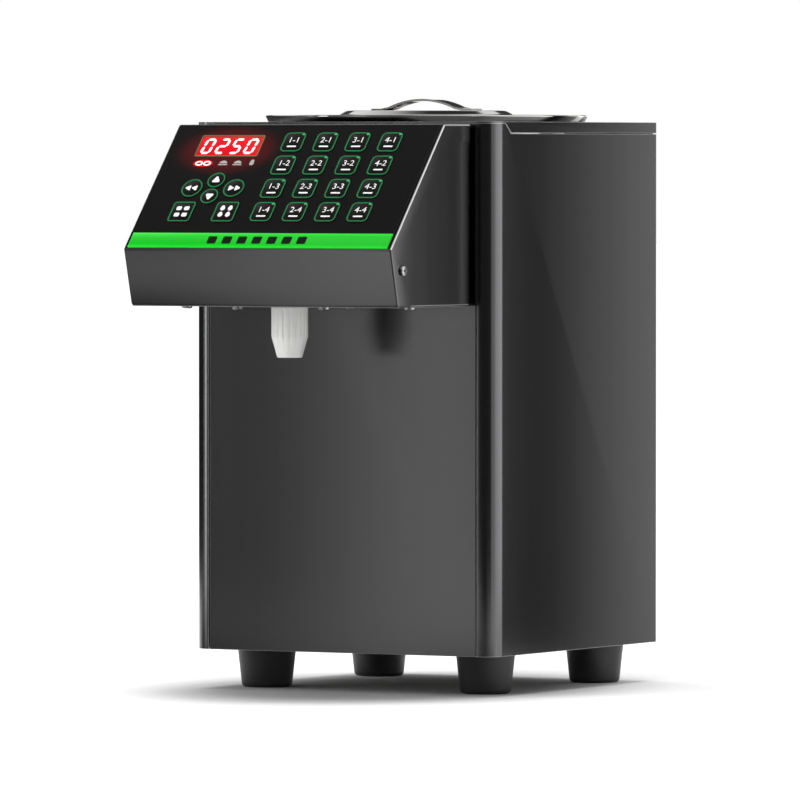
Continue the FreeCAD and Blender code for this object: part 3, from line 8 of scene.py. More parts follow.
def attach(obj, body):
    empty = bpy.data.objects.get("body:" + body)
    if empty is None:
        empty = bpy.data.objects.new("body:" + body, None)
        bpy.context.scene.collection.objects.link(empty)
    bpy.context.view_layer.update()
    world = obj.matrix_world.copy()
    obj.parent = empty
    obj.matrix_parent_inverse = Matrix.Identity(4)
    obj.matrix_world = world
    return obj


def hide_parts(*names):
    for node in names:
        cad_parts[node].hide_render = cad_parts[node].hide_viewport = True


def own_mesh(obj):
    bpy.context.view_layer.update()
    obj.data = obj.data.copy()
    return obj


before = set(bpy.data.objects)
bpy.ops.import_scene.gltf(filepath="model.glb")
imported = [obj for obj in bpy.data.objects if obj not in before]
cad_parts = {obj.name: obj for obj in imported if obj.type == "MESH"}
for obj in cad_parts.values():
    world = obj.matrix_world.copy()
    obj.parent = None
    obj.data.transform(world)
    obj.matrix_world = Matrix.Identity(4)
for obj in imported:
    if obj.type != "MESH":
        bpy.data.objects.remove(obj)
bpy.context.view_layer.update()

# Casing sheets: side panels, front panel, top cover and rear cover.
# They are 1.2 mm stainless sheet, coated black, brushed along the height and folded. Each one
# keeps its CAD shape, with the folds smoothed and the cut edges broken.
MM = 0.001
SHEET_EDGE = 0.25 * MM
SAME_POINT = 0.001 * MM
FLAT_ANGLE = math.radians(0.5)
SHARP_ANGLE = math.radians(35)


def linear(code):
    """A colour written as sRGB hex, turned to the linear values that shaders take."""
    channels = []
    for start in (1, 3, 5):
        share = int(code[start:start + 2], 16) / 255
        channels.append(share / 12.92 if share <= 0.04045 else ((share + 0.055) / 1.055) ** 2.4)
    return (*channels, 1.0)


def add(tree, kind, settings=None, inputs=None):
    """Adds one node: settings are its own choices, inputs are values or what is linked in."""
    node = tree.nodes.new(kind)
    for key, value in (settings or {}).items():
        setattr(node, key, value)
    for key, value in (inputs or {}).items():
        if isinstance(value, bpy.types.NodeSocket):
            tree.links.new(value, node.inputs[key])
        else:
            node.inputs[key].default_value = value
    return node


def new_finish(name, roughness, metallic=0.0):
    """A material to fill in: the material, its nodes and its shader."""
    material = bpy.data.materials.new(name)
    material.use_nodes = True
    shader = material.node_tree.nodes["Principled BSDF"]
    shader.inputs["Roughness"].default_value = roughness
    shader.inputs["Metallic"].default_value = metallic
    return material, material.node_tree, shader


def mottled(tree, pattern, code, darkest, lightest):
    """A colour that a pattern makes a little darker and lighter."""
    shade = add(tree, "ShaderNodeMapRange", {}, {
        "Value": pattern, "From Min": 0.3, "From Max": 0.7,
        "To Min": darkest, "To Max": lightest})
    return add(tree, "ShaderNodeHueSaturation", {}, {
        "Color": linear(code), "Value": shade.outputs["Result"]}).outputs["Color"]


def new_object(name, data):
    """An object for a mesh, lamp, camera or text, put into the scene."""
    thing = bpy.data.objects.new(name, data)
    bpy.context.scene.collection.objects.link(thing)
    return thing


def as_mesh(name, shape):
    """Turns a drawn shape to a mesh and lets the drawing go."""
    mesh = bpy.data.meshes.new(name)
    shape.to_mesh(mesh)
    shape.free()
    return mesh


def applied(thing):
    """A plain mesh of an object with its modifiers or its text worked out."""
    bpy.context.view_layer.update()
    return bpy.data.meshes.new_from_object(
        thing.evaluated_get(bpy.context.evaluated_depsgraph_get()))


def make_black_steel():
    # Stainless steel with a black titanium coat, brushed upright: a dark metal on which lights
    # spread into soft upright bands with faint streaks.
    material, tree, shader = new_finish("black_titanium_steel", 0.18, 1.0)
    place = add(tree, "ShaderNodeTexCoord").outputs["Object"]
    # The real hairlines are about 0.1 mm apart. They are drawn 1 mm apart, so that they show.
    line_gap, line_length = 1.0 * MM, 260 * MM
    along = add(tree, "ShaderNodeMapping", {"vector_type": "POINT"}, {
        "Vector": place, "Scale": (1 / line_gap, 1 / line_gap, 1 / line_length)})
    lines = add(tree, "ShaderNodeTexNoise", {}, {
        "Vector": along.outputs["Vector"], "Scale": 1.0, "Detail": 5.0, "Roughness": 0.7})
    tint = mottled(tree, lines.outputs["Fac"], "#5E5E5F", 0.94, 1.06)
    gloss = add(tree, "ShaderNodeMapRange", {}, {
        "Value": lines.outputs["Fac"], "From Min": 0.3, "From Max": 0.7,
        "To Min": 0.165, "To Max": 0.2})
    ridges = add(tree, "ShaderNodeBump", {}, {
        "Height": lines.outputs["Fac"], "Strength": 0.1, "Distance": 0.01 * MM})
    around = add(tree, "ShaderNodeTangent", {"direction_type": "RADIAL", "axis": "Z"})
    tree.links.new(tint, shader.inputs["Base Color"])
    tree.links.new(gloss.outputs["Result"], shader.inputs["Roughness"])
    tree.links.new(ridges.outputs["Normal"], shader.inputs["Normal"])
    tree.links.new(around.outputs["Tangent"], shader.inputs["Tangent"])
    shader.inputs["Anisotropic"].default_value = 0.35
    return material


def finished(name, mesh, finishes, body, replaced=(), edge=0.0, steps=2, edge_finish=None):
    """A shown piece: finishes, smooth shading, broken edges, body, slot and what it replaces."""
    piece = new_object(name, mesh)
    if len(mesh.materials) == 0:
        for finish in finishes:
            mesh.materials.append(finish)
    mesh.shade_smooth()
    mesh.set_sharp_from_angle(angle=SHARP_ANGLE)
    if edge:
        bevel = piece.modifiers.new("broken_edges", "BEVEL")
        bevel.width = edge
        bevel.segments = steps
        bevel.limit_method = "ANGLE"
        bevel.angle_limit = SHARP_ANGLE
        bevel.use_clamp_overlap = False
        bevel.harden_normals = True
        if edge_finish:
            mesh.materials.append(edge_finish)
            bevel.material = len(mesh.materials) - 1
    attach(piece, body)
    if replaced:
        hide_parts(*replaced)
    return piece


def closed_skin(node):
    """A CAD piece's mesh as one closed skin, its flat faces whole."""
    skin = bmesh.new()
    skin.from_mesh(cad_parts[node].data)
    bmesh.ops.remove_doubles(skin, verts=skin.verts, dist=SAME_POINT)
    bmesh.ops.dissolve_limit(skin, angle_limit=FLAT_ANGLE, verts=skin.verts, edges=skin.edges)
    return as_mesh(node + "_skin", skin)


def refinished(node, finish, body, edge=SHEET_EDGE, steps=2, edge_finish=None):
    """A CAD piece with its folds smoothed, its edges broken and a finish of its own."""
    return finished(node + "_dressed", closed_skin(node), [finish], body, [node],
                    edge, steps, edge_finish)


def make_cut_edge_and_highlight():
    # The same stainless where a cut went through the black coat: bare, bright and a bit rough.
    # On the head cover's slope folds this finish stands for a painted highlight.
    material, tree, shader = new_finish("bare_cut_stainless_and_highlight", 0.4, 1.0)
    place = add(tree, "ShaderNodeTexCoord").outputs["Object"]
    # A shear leaves marks about 0.2 mm apart. They are drawn 0.8 mm apart.
    marks = add(tree, "ShaderNodeTexNoise", {}, {
        "Vector": place, "Scale": 1 / (0.8 * MM), "Detail": 2.0})
    tint = mottled(tree, marks.outputs["Fac"], "#C9C9C8", 0.85, 1.05)
    tree.links.new(tint, shader.inputs["Base Color"])
    return material


black_steel = make_black_steel()
cut_edge_and_highlight = make_cut_edge_and_highlight()
for sheet in ("left_side_panel", "right_side_panel", "front_panel", "top_cover", "rear_cover"):
    refinished(sheet, black_steel, "machine", edge_finish=cut_edge_and_highlight)

# Head: the folded cover, the frame with its two cheeks, and the bottom plate.
# The same coated sheet, 0.8 mm for the cover, folded round the slope, the ridge and the chin.
# The slope's side folds get the bright bare finish as a painted highlight along them.
HEAD_EDGE = 0.2 * MM
RIDGE_HEIGHT = 321.3 * MM
FOLD_FROM, FOLD_TO = 5, 85
for sheet in ("head_frame", "head_bottom"):
    refinished(sheet, black_steel, "machine", HEAD_EDGE, edge_finish=cut_edge_and_highlight)
cover_skin = closed_skin("head_cover")
cover_skin.materials.append(black_steel)
cover_skin.materials.append(cut_edge_and_highlight)
# Fold faces above the ridge take the bright finish: a painted highlight.
for face in cover_skin.polygons:
    turned = math.degrees(math.acos(min(1.0, abs(face.normal.x))))
    painted_highlight_fold = FOLD_FROM < turned < FOLD_TO and face.center.z > RIDGE_HEIGHT
    face.material_index = 1 if painted_highlight_fold else 0
finished("head_cover_dressed", cover_skin, [], "machine", ["head_cover"],
         HEAD_EDGE)

# Keypad overlay: a black printed polycarbonate film, stuck to the head's slanted face.
# Its surface is finely grained, and a red glow round the display is painted into it.
FACE_TOP = Vector((0, -110.2, 410.0))
SLOPE_UP = Vector((0, 0.662739, 0.748852))
SLOPE_OUT = Vector((0, -0.748852, 0.662739))
FACE = Matrix.Translation(FACE_TOP * MM) @ Matrix((
    (1, 0, 0), (0, SLOPE_UP.y, SLOPE_OUT.y), (0, SLOPE_UP.z, SLOPE_OUT.z))).to_4x4()
WINDOW_MIDDLE, WINDOW_ROW = -58.6, 21.0
WINDOW_WIDTH, WINDOW_HEIGHT = 50.5, 18.5
GLOW_DROP, GLOW_SIDE, GLOW_UP = 4, 44, 24


def on_face(across, down, out=0.0):
    """A point of the slanted face: mm right of its middle, down the slope and out of it."""
    return FACE @ (Vector((across, -down, out)) * MM)


def make_overlay_film():
    # Grained polycarbonate, printed black behind: nearly black, with a dull broken sheen.
    material, tree, shader = new_finish("printed_polycarbonate", 0.36)
    place = add(tree, "ShaderNodeTexCoord").outputs["Object"]
    # The grain is about 0.2 mm across. It is drawn at 1.5 mm, the finest that shows.
    grain = add(tree, "ShaderNodeTexNoise", {}, {
        "Vector": place, "Scale": 1 / (1.5 * MM), "Detail": 3.0, "Roughness": 0.6})
    tint = mottled(tree, grain.outputs["Fac"], "#0D0B0B", 0.75, 1.3)
    bumps = add(tree, "ShaderNodeBump", {}, {
        "Height": grain.outputs["Fac"], "Strength": 0.4, "Distance": 0.05 * MM})
    # The painted red glow fades out in an oval, 50 mm to each side and 28 mm up and down.
    reach = add(tree, "ShaderNodeVectorMath", {"operation": "SUBTRACT"}, {
        0: place, 1: on_face(WINDOW_MIDDLE, WINDOW_ROW + GLOW_DROP)})
    squeezed = add(tree, "ShaderNodeVectorMath", {"operation": "DIVIDE"}, {
        0: reach.outputs["Vector"], 1: (GLOW_SIDE * MM, GLOW_UP * MM, GLOW_UP * MM)})
    far = add(tree, "ShaderNodeVectorMath", {"operation": "LENGTH"}, {
        0: squeezed.outputs["Vector"]})
    glow = add(tree, "ShaderNodeMapRange", {"interpolation_type": "SMOOTHERSTEP"}, {
        "Value": far.outputs["Value"], "From Min": 0.45, "From Max": 1.15,
        "To Min": 0.09, "To Max": 0.0})
    tree.links.new(tint, shader.inputs["Base Color"])
    tree.links.new(bumps.outputs["Normal"], shader.inputs["Normal"])
    tree.links.new(glow.outputs["Result"], shader.inputs["Emission Strength"])
    shader.inputs["Emission Color"].default_value = linear("#F01428")
    return material


FILM_EDGE = 0.1 * MM
overlay_film = make_overlay_film()
refinished("keypad_overlay", overlay_film, "machine", FILM_EDGE, 1)

# Keys: 16 dose keys, four round keys and two mode keys, each a small raised button of film.
# The green outline and the white sign are printed on the button.
KEY_BACK, KEY_SHOULDER, KEY_FACE = 0.45, 0.93, 1.05
PRINT_TOP = 1.1
FACE_INSET, OUTLINE_INSET, OUTLINE_WIDTH = 0.2, 0.25, 1.0


def rounded_outline(width, height, radius, steps=5):
    """The corners of a rounded rectangle about the origin, counterclockwise."""
    points = []
    quarters = ((1, 1), (-1, 1), (-1, -1), (1, -1))
    for quarter, (right, up) in enumerate(quarters):
        for step in range(steps + 1):
            angle = (quarter + step / steps) * math.pi / 2
            points.append((right * (width / 2 - radius) + radius * math.cos(angle),
                           up * (height / 2 - radius) + radius * math.sin(angle)))
    return points


def round_outline(radius, steps=40):
    """The corners of a circle about the origin, counterclockwise."""
    return [(radius * math.cos(2 * math.pi * step / steps),
             radius * math.sin(2 * math.pi * step / steps)) for step in range(steps)]


def loft(shape, levels, finish_place=0, ring=False):
    """Joins outlines, each with its height, by walls, then caps them or closes the ring."""
    loops = [[shape.verts.new((x, y, height)) for x, y in outline] for outline, height in levels]
    pairs = list(zip(loops, loops[1:]))
    if ring:
        pairs.append((loops[-1], loops[0]))
    faces = []
    for low, high in pairs:
        for place in range(len(low)):
            after = (place + 1) % len(low)
            faces.append(shape.faces.new((low[place], low[after], high[after], high[place])))
    if not ring:
        faces.append(shape.faces.new(loops[0][::-1]))
        faces.append(shape.faces.new(loops[-1]))
    for face in faces:
        face.material_index = finish_place


def moved(outline, across, up):
    """An outline set about another point."""
    return [(x + across, y + up) for x, y in outline]


def slab(shape, outline, low, high, finish_place=0):
    """A flat plate of any outline between two heights."""
    loft(shape, [(outline, low), (outline, high)], finish_place)


def frame_line(shape, outer, inner, low, high, finish_place=0):
    """A raised line between two outlines of equal count."""
    loft(shape, [(outer, low), (outer, high), (inner, high), (inner, low)], finish_place, True)


def sign(shape, text, size, across, up, low, high, finish_place):
    """Plain figures as a thin raised print, about a middle point."""
    words = bpy.data.curves.new("sign", "FONT")
    words.body = text
    words.size = size
    words.align_x = "CENTER"
    words.align_y = "CENTER"
    words.resolution_u = 3
    words.extrude = (high - low) / 2
    carrier = new_object("sign", words)
    mesh = applied(carrier)
    mesh.transform(Matrix.Translation((across, up, (low + high) / 2)))
    first = len(shape.faces)
    shape.from_mesh(mesh)
    shape.faces.ensure_lookup_table()
    for face in shape.faces[first:]:
        face.material_index = finish_place
    bpy.data.objects.remove(carrier)
    bpy.data.curves.remove(words)
    bpy.data.meshes.remove(mesh)


def mesh_on_face(name, shape, across=0.0, down=0.0):
    """Sets a shape drawn in mm on the slanted face and turns it to a mesh."""
    bmesh.ops.remove_doubles(shape, verts=shape.verts, dist=SAME_POINT)
    bmesh.ops.recalc_face_normals(shape, faces=shape.faces)
    shape.transform(FACE @ Matrix.Scale(MM, 4) @ Matrix.Translation((across, -down, 0)))
    return as_mesh(name, shape)


def make_key_film():
    # The same film, rubbed a little smoother by fingers: black with a soft shine.
    material, tree, shader = new_finish("key_polycarbonate", 0.4)
    place = add(tree, "ShaderNodeTexCoord").outputs["Object"]
    grain = add(tree, "ShaderNodeTexNoise", {}, {
        "Vector": place, "Scale": 1 / (1.2 * MM), "Detail": 2.0})
    tint = mottled(tree, grain.outputs["Fac"], "#0B0D0C", 0.8, 1.2)
    tree.links.new(tint, shader.inputs["Base Color"])
    return material


def make_ink(name, code, glow=0.0):
    # Screen ink: an even, slightly rough colour, thinner where the mesh of the screen was.
    material, tree, shader = new_finish(name, 0.45)
    place = add(tree, "ShaderNodeTexCoord").outputs["Object"]
    # A printing screen has threads about 0.1 mm apart. They are drawn at 0.5 mm.
    screen = add(tree, "ShaderNodeTexNoise", {}, {
        "Vector": place, "Scale": 1 / (0.5 * MM), "Detail": 1.0})
    tint = mottled(tree, screen.outputs["Fac"], code, 0.88, 1.0)
    tree.links.new(tint, shader.inputs["Base Color"])
    # Where an ink is given a glow, the glow is painted light: the print gives out a little light of
    # its own.
    tree.links.new(tint, shader.inputs["Emission Color"])
    shader.inputs["Emission Strength"].default_value = glow
    return material


key_film = make_key_film()
green_ink = make_ink("green_screen_ink", "#19703C", 0.2)
white_ink = make_ink("white_screen_ink", "#EDEDEA", 0.15)
painted_highlight_ink = make_ink("pale_green_painted_highlight", "#3FA768", 0.2)
KEY_FINISHES = [key_film, green_ink, white_ink, painted_highlight_ink]
FILM, GREEN, WHITE, HIGHLIGHT_DOT = range(4)


def make_key(name, across, down, outline_of, draw):
    """One key: outline_of gives its outline drawn in by a distance, draw adds its sign."""
    shape = bmesh.new()
    edge = outline_of(0)
    loft(shape, [(edge, KEY_BACK), (edge, KEY_SHOULDER), (outline_of(FACE_INSET), KEY_FACE)], FILM)
    frame_line(shape, outline_of(OUTLINE_INSET), outline_of(OUTLINE_INSET + OUTLINE_WIDTH),
               KEY_SHOULDER, PRINT_TOP, GREEN)
    draw(shape)
    mesh = mesh_on_face(name, shape, across, down)
    finished(name + "_print", mesh, KEY_FINISHES, name, [name])


# Dose keys: four columns and four rows, each with its column and row number and a short bar.
COLUMNS, ROWS = 4, 4
FIRST_COLUMN, COLUMN_PITCH = -7.3, 26.4
FIRST_ROW, ROW_PITCH = 17.7, 22.05
DOSE_WIDTH, DOSE_HEIGHT, DOSE_CORNER = 17.5, 18.5, 4.0
NUMBER_SIZE, NUMBER_PLACE = 7.2, (0.2, 1.7)
BAR_WIDTH, BAR_HEIGHT, BAR_CORNER, BAR_PLACE = 7.6, 1.3, 0.5, (0.0, -4.2)
DOT_WIDTH, DOT_HEIGHT, DOT_CORNER, DOT_PLACE = 2.2, 1.5, 0.6, (6.0, 7.3)
DOT_RISE = 0.02


def dose_outline(inset):
    return rounded_outline(DOSE_WIDTH - 2 * inset, DOSE_HEIGHT - 2 * inset, DOSE_CORNER - inset)


for row in range(ROWS):
    for column in range(COLUMNS):
        figures = f"{column + 1}-{row + 1}"

        def draw_dose(shape):
            sign(shape, figures, NUMBER_SIZE, *NUMBER_PLACE, KEY_SHOULDER, PRINT_TOP, WHITE)
            bar = moved(rounded_outline(BAR_WIDTH, BAR_HEIGHT, BAR_CORNER, 2), *BAR_PLACE)
            slab(shape, bar, KEY_SHOULDER, PRINT_TOP, WHITE)
            # The pale green dot at the key's upper right corner is a painted highlight on the green
            # outline.
            dot = moved(rounded_outline(DOT_WIDTH, DOT_HEIGHT, DOT_CORNER, 3), *DOT_PLACE)
            slab(shape, dot, KEY_SHOULDER, PRINT_TOP + DOT_RISE, HIGHLIGHT_DOT)

        make_key(f"dose_key_{row * COLUMNS + column + 1:02d}", FIRST_COLUMN + column * COLUMN_PITCH,
                 FIRST_ROW + row * ROW_PITCH, dose_outline, draw_dose)

# Round keys: up and down with a triangle, left and right with two small arrow heads.
UP_DOWN_RADIUS, SIDE_RADIUS = 7.2, 8.5
UP_ROW, SIDE_ROW, DOWN_ROW = 54.0, 61.6, 69.2
LEFT_COLUMN, UP_DOWN_COLUMN, RIGHT_COLUMN = -74.3, -57.0, -39.7
ARROW_REACH, SMALL_REACH, SMALL_STEP, BLUNT_TURN = 3.3, 2.5, 2.6, 0.18


def triangle(reach, turn):
    """A triangle with slightly blunt corners, pointing along the turn from straight up."""
    points = []
    for corner in range(3):
        for side in (-BLUNT_TURN, BLUNT_TURN):
            angle = turn + math.pi / 2 + corner * 2 * math.pi / 3 + side
            points.append((reach * math.cos(angle), reach * math.sin(angle)))
    return points


def up_down_outline(inset):
    return round_outline(UP_DOWN_RADIUS - inset)


def side_outline(inset):
    return round_outline(SIDE_RADIUS - inset)


for name, row, turn in (("up_key", UP_ROW, 0.0), ("down_key", DOWN_ROW, math.pi)):
    def draw_arrow(shape):
        slab(shape, triangle(ARROW_REACH, turn), KEY_SHOULDER, PRINT_TOP, WHITE)

    make_key(name, UP_DOWN_COLUMN, row, up_down_outline, draw_arrow)

for name, column, turn in (("left_key", LEFT_COLUMN, math.pi / 2),
                           ("right_key", RIGHT_COLUMN, -math.pi / 2)):
    def draw_arrows(shape):
        for step in (-SMALL_STEP, SMALL_STEP):
            head = moved(triangle(SMALL_REACH, turn), step, 0)
            slab(shape, head, KEY_SHOULDER, PRINT_TOP, WHITE)

    make_key(name, column, SIDE_ROW, side_outline, draw_arrows)

# Mode keys: squarer buttons, one with four blocks and one with four drops.
MODE_ROW, STANDBY_COLUMN, RINSE_COLUMN = 84.0, -74.1, -38.2
MODE_WIDTH, MODE_HEIGHT, MODE_CORNER = 18.5, 19.0, 2.5
SQUARE_WIDTH, SQUARE_HEIGHT, SQUARE_CORNER = 4.2, 3.6, 1.0
DROP_RADIUS, DROP_SHOULDER, DROP_TIP = 1.9, 1.2, 0.9
FOUR_ACROSS, FOUR_UP = 3.1, 3.0


def mode_outline(inset):
    return rounded_outline(MODE_WIDTH - 2 * inset, MODE_HEIGHT - 2 * inset, MODE_CORNER - inset)


def block_mark():
    return rounded_outline(SQUARE_WIDTH, SQUARE_HEIGHT, SQUARE_CORNER, 3)


def drop_mark():
    return [(x, y + (DROP_TIP if y > DROP_SHOULDER else 0.0))
            for x, y in round_outline(DROP_RADIUS, 12)]


for name, column, mark in (("standby_key", STANDBY_COLUMN, block_mark),
                           ("rinse_key", RINSE_COLUMN, drop_mark)):
    def draw_marks(shape):
        for across in (-FOUR_ACROSS, FOUR_ACROSS):
            for up in (-FOUR_UP, FOUR_UP):
                slab(shape, moved(mark(), across, up), KEY_SHOULDER, PRINT_TOP, WHITE)

    make_key(name, column, MODE_ROW, mode_outline, draw_marks)

# Display: a red acrylic window over lit seven-segment figures, with four small signs below it.
# The figures and signs are drawn just over the window and the film, where their light comes out.
LENS_GAP, LENS_BACK, LENS_FACE = 0.15, -1.9, 0.6
FIGURE_HEIGHT, FIGURE_WIDTH, FIGURE_STROKE, FIGURE_LEAN = 12.8, 6.4, 2.0, 0.14
FIGURE_PITCH, FIGURES_UP, SEGMENT_GAP = 11.8, -0.4, 0.25
FIGURE_SINK, FIGURE_RISE = 0.05, 0.04
PANE_CORNER, RIM_CORNER, RIM_WIDTH, RIM_DROP = 1.0, 0.8, 0.5, 0.15
SHOWN_FIGURES = "0250"
SEGMENTS = {"0": "abcdef", "2": "abged", "5": "afgcd"}


def segment_outlines(figure):
    """The lit bars of one seven-segment figure, as four-cornered outlines about its middle."""
    wide, tall, stroke = FIGURE_WIDTH / 2, FIGURE_HEIGHT / 2, FIGURE_STROKE
    gap = SEGMENT_GAP
    level = {"a": tall, "g": 0.0, "d": -tall}
    upright = {"f": (-wide, 0.0, tall), "b": (wide, 0.0, tall),
               "e": (-wide, -tall, 0.0), "c": (wide, -tall, 0.0)}
    bars = []
    for letter in SEGMENTS[figure]:
        if letter in level:
            y = level[letter]
            tip, flat = wide - gap, wide - gap - stroke / 2
            bars.append([(-tip, y), (-flat, y - stroke / 2), (flat, y - stroke / 2), (tip, y),
                         (flat, y + stroke / 2), (-flat, y + stroke / 2)])
        else:
            x, low, high = upright[letter]
            low, high = low + gap, high - gap
            half = stroke / 2
            bars.append([(x, low), (x + half, low + half), (x + half, high - half), (x, high),
                         (x - half, high - half), (x - half, low + half)])
    return [[(x + y * FIGURE_LEAN, y) for x, y in bar] for bar in bars]


def make_red_lens():
    # Red acrylic lit from behind: an even strong red, its brightness faintly cloudy.
    material, tree, shader = new_finish("red_acrylic", 0.25)
    place = add(tree, "ShaderNodeTexCoord").outputs["Object"]
    cloud = add(tree, "ShaderNodeTexNoise", {}, {
        "Vector": place, "Scale": 1 / (9 * MM), "Detail": 1.0})
    level = add(tree, "ShaderNodeMapRange", {}, {
        "Value": cloud.outputs["Fac"], "From Min": 0.35, "From Max": 0.65,
        "To Min": 0.62, "To Max": 0.82})
    tree.links.new(level.outputs["Result"], shader.inputs["Emission Strength"])
    shader.inputs["Base Color"].default_value = linear("#7A0610")
    shader.inputs["Emission Color"].default_value = linear("#F00A1C")
    return material


def make_lit_figures():
    # Light-emitting segments seen through the window: nearly white, with a red edge to the colour.
    material, tree, shader = new_finish("lit_segments", 0.4)
    place = add(tree, "ShaderNodeTexCoord").outputs["Object"]
    cells = add(tree, "ShaderNodeTexNoise", {}, {"Vector": place, "Scale": 1 / (3 * MM)})
    level = add(tree, "ShaderNodeMapRange", {}, {
        "Value": cells.outputs["Fac"], "To Min": 0.85, "To Max": 1.0})
    tree.links.new(level.outputs["Result"], shader.inputs["Emission Strength"])
    shader.inputs["Base Color"].default_value = linear("#F2C9C9")
    shader.inputs["Emission Color"].default_value = linear("#FFE4E2")
    return material


red_lens = make_red_lens()
lit_figures = make_lit_figures()
window = bmesh.new()
pane = rounded_outline(WINDOW_WIDTH - 2 * LENS_GAP, WINDOW_HEIGHT - 2 * LENS_GAP, PANE_CORNER, 3)
pane_rim = rounded_outline(WINDOW_WIDTH - 2 * RIM_WIDTH, WINDOW_HEIGHT - 2 * RIM_WIDTH,
                           RIM_CORNER, 3)
loft(window, [(pane, LENS_BACK), (pane, LENS_FACE - RIM_DROP), (pane_rim, LENS_FACE)])
finished("display_window", mesh_on_face("display_window", window, WINDOW_MIDDLE, WINDOW_ROW),
         [red_lens], "machine", ["display_lens"])
figures = bmesh.new()
for place, figure in enumerate(SHOWN_FIGURES):
    middle = (place - (len(SHOWN_FIGURES) - 1) / 2) * FIGURE_PITCH
    for bar in segment_outlines(figure):
        slab(figures, moved(bar, middle, FIGURES_UP),
             LENS_FACE - FIGURE_SINK, LENS_FACE + FIGURE_RISE)
finished("display_figures", mesh_on_face("display_figures", figures, WINDOW_MIDDLE, WINDOW_ROW),
         [lit_figures], "machine")

# Window border and signs: printed on the film round and below the display.
# One lit red oval with two loops, then two dim bowls and a dim drop.
border_ink = make_ink("olive_screen_ink", "#5C7046", 0.1)
dim_ink = make_ink("grey_screen_ink", "#A9A7A2", 0.05)
SIGN_BACK, SIGN_TOP, SIGN_ROW = 0.55, 0.66, 37.8
BORDER_OUTSIDE, BORDER_INSIDE = (1.8, 1.6), (0.2, 1.0)
OVAL_COLUMN, OVAL_HALVES = -74.5, (8.2, 3.3)
LOOP_STEP, LOOP_OUTSIDE, LOOP_INSIDE, LOOP_SINK, LOOP_RISE = 3.3, (3.1, 2.2), (1.9, 1.1), 0.02, 0.05
BOWL_COLUMNS, BOWL_HALVES, BOWL_STEPS = (-57.8, -46.0), (3.2, 2.6), 12
SAUCER_WIDTH, SAUCER_HEIGHT, SAUCER_CORNER, SAUCER_DROP = 7.6, 1.0, 0.4, 1.2
DIM_DROP_COLUMN, DIM_DROP_RADIUS, DIM_DROP_SHOULDER, DIM_DROP_TIP = -34.3, 1.8, 1.0, 1.9


def window_outline(margin, corner):
    """The window's outline, wider by a margin in all, with its own corner radius."""
    return rounded_outline(WINDOW_WIDTH + margin, WINDOW_HEIGHT + margin, corner, 3)


def oval_outline(half_width, half_height):
    return [(x * half_width, y * half_height) for x, y in round_outline(1.0)]


border = bmesh.new()
frame_line(border, window_outline(*BORDER_OUTSIDE), window_outline(*BORDER_INSIDE),
           SIGN_BACK, SIGN_TOP)
finished("window_border", mesh_on_face("window_border", border, WINDOW_MIDDLE, WINDOW_ROW),
         [border_ink], "machine")
lit_sign = bmesh.new()
slab(lit_sign, oval_outline(*OVAL_HALVES), SIGN_BACK, SIGN_TOP, 0)
for side in (-1, 1):
    frame_line(lit_sign, moved(oval_outline(*LOOP_OUTSIDE), side * LOOP_STEP, 0),
               moved(oval_outline(*LOOP_INSIDE), side * LOOP_STEP, 0),
               SIGN_TOP - LOOP_SINK, SIGN_TOP + LOOP_RISE, 1)
finished("lit_sign", mesh_on_face("lit_sign", lit_sign, OVAL_COLUMN, SIGN_ROW),
         [red_lens, lit_figures], "machine")
dim_signs = bmesh.new()
for across in BOWL_COLUMNS:
    bowl = [(across + BOWL_HALVES[0] * math.cos(angle), BOWL_HALVES[1] * math.sin(angle))
            for angle in [math.pi * step / BOWL_STEPS for step in range(BOWL_STEPS + 1)]]
    slab(dim_signs, bowl, SIGN_BACK, SIGN_TOP)
    saucer = rounded_outline(SAUCER_WIDTH, SAUCER_HEIGHT, SAUCER_CORNER, 2)
    slab(dim_signs, moved(saucer, across, -SAUCER_DROP), SIGN_BACK, SIGN_TOP)
drop = [(DIM_DROP_COLUMN + across, up + (DIM_DROP_TIP if up > DIM_DROP_SHOULDER else 0.0))
        for across, up in round_outline(DIM_DROP_RADIUS, 16)]
slab(dim_signs, drop, SIGN_BACK, SIGN_TOP)
finished("dim_signs", mesh_on_face("dim_signs", dim_signs, 0, SIGN_ROW), [dim_ink],
         "machine")

# Colour strip: a green acrylic strip along the foot of the slope, with seven plain dark blocks.
STRIP_MIDDLE, STRIP_HALF, STRIP_SIDE, STRIP_THICK = 110.7, 6.8, 106.4, 0.9
BLOCK_COUNT, BLOCK_PITCH, BLOCK_WIDTH, BLOCK_HEIGHT = 7, 12.25, 7.4, 6.8
BLOCKS_MIDDLE, BLOCK_CORNER, BLOCK_SINK = -1.95, 1.0, 0.05
STRIP_CORNER, STRIP_BREAK, STRIP_SHOULDER = 0.3, 0.25, 0.2


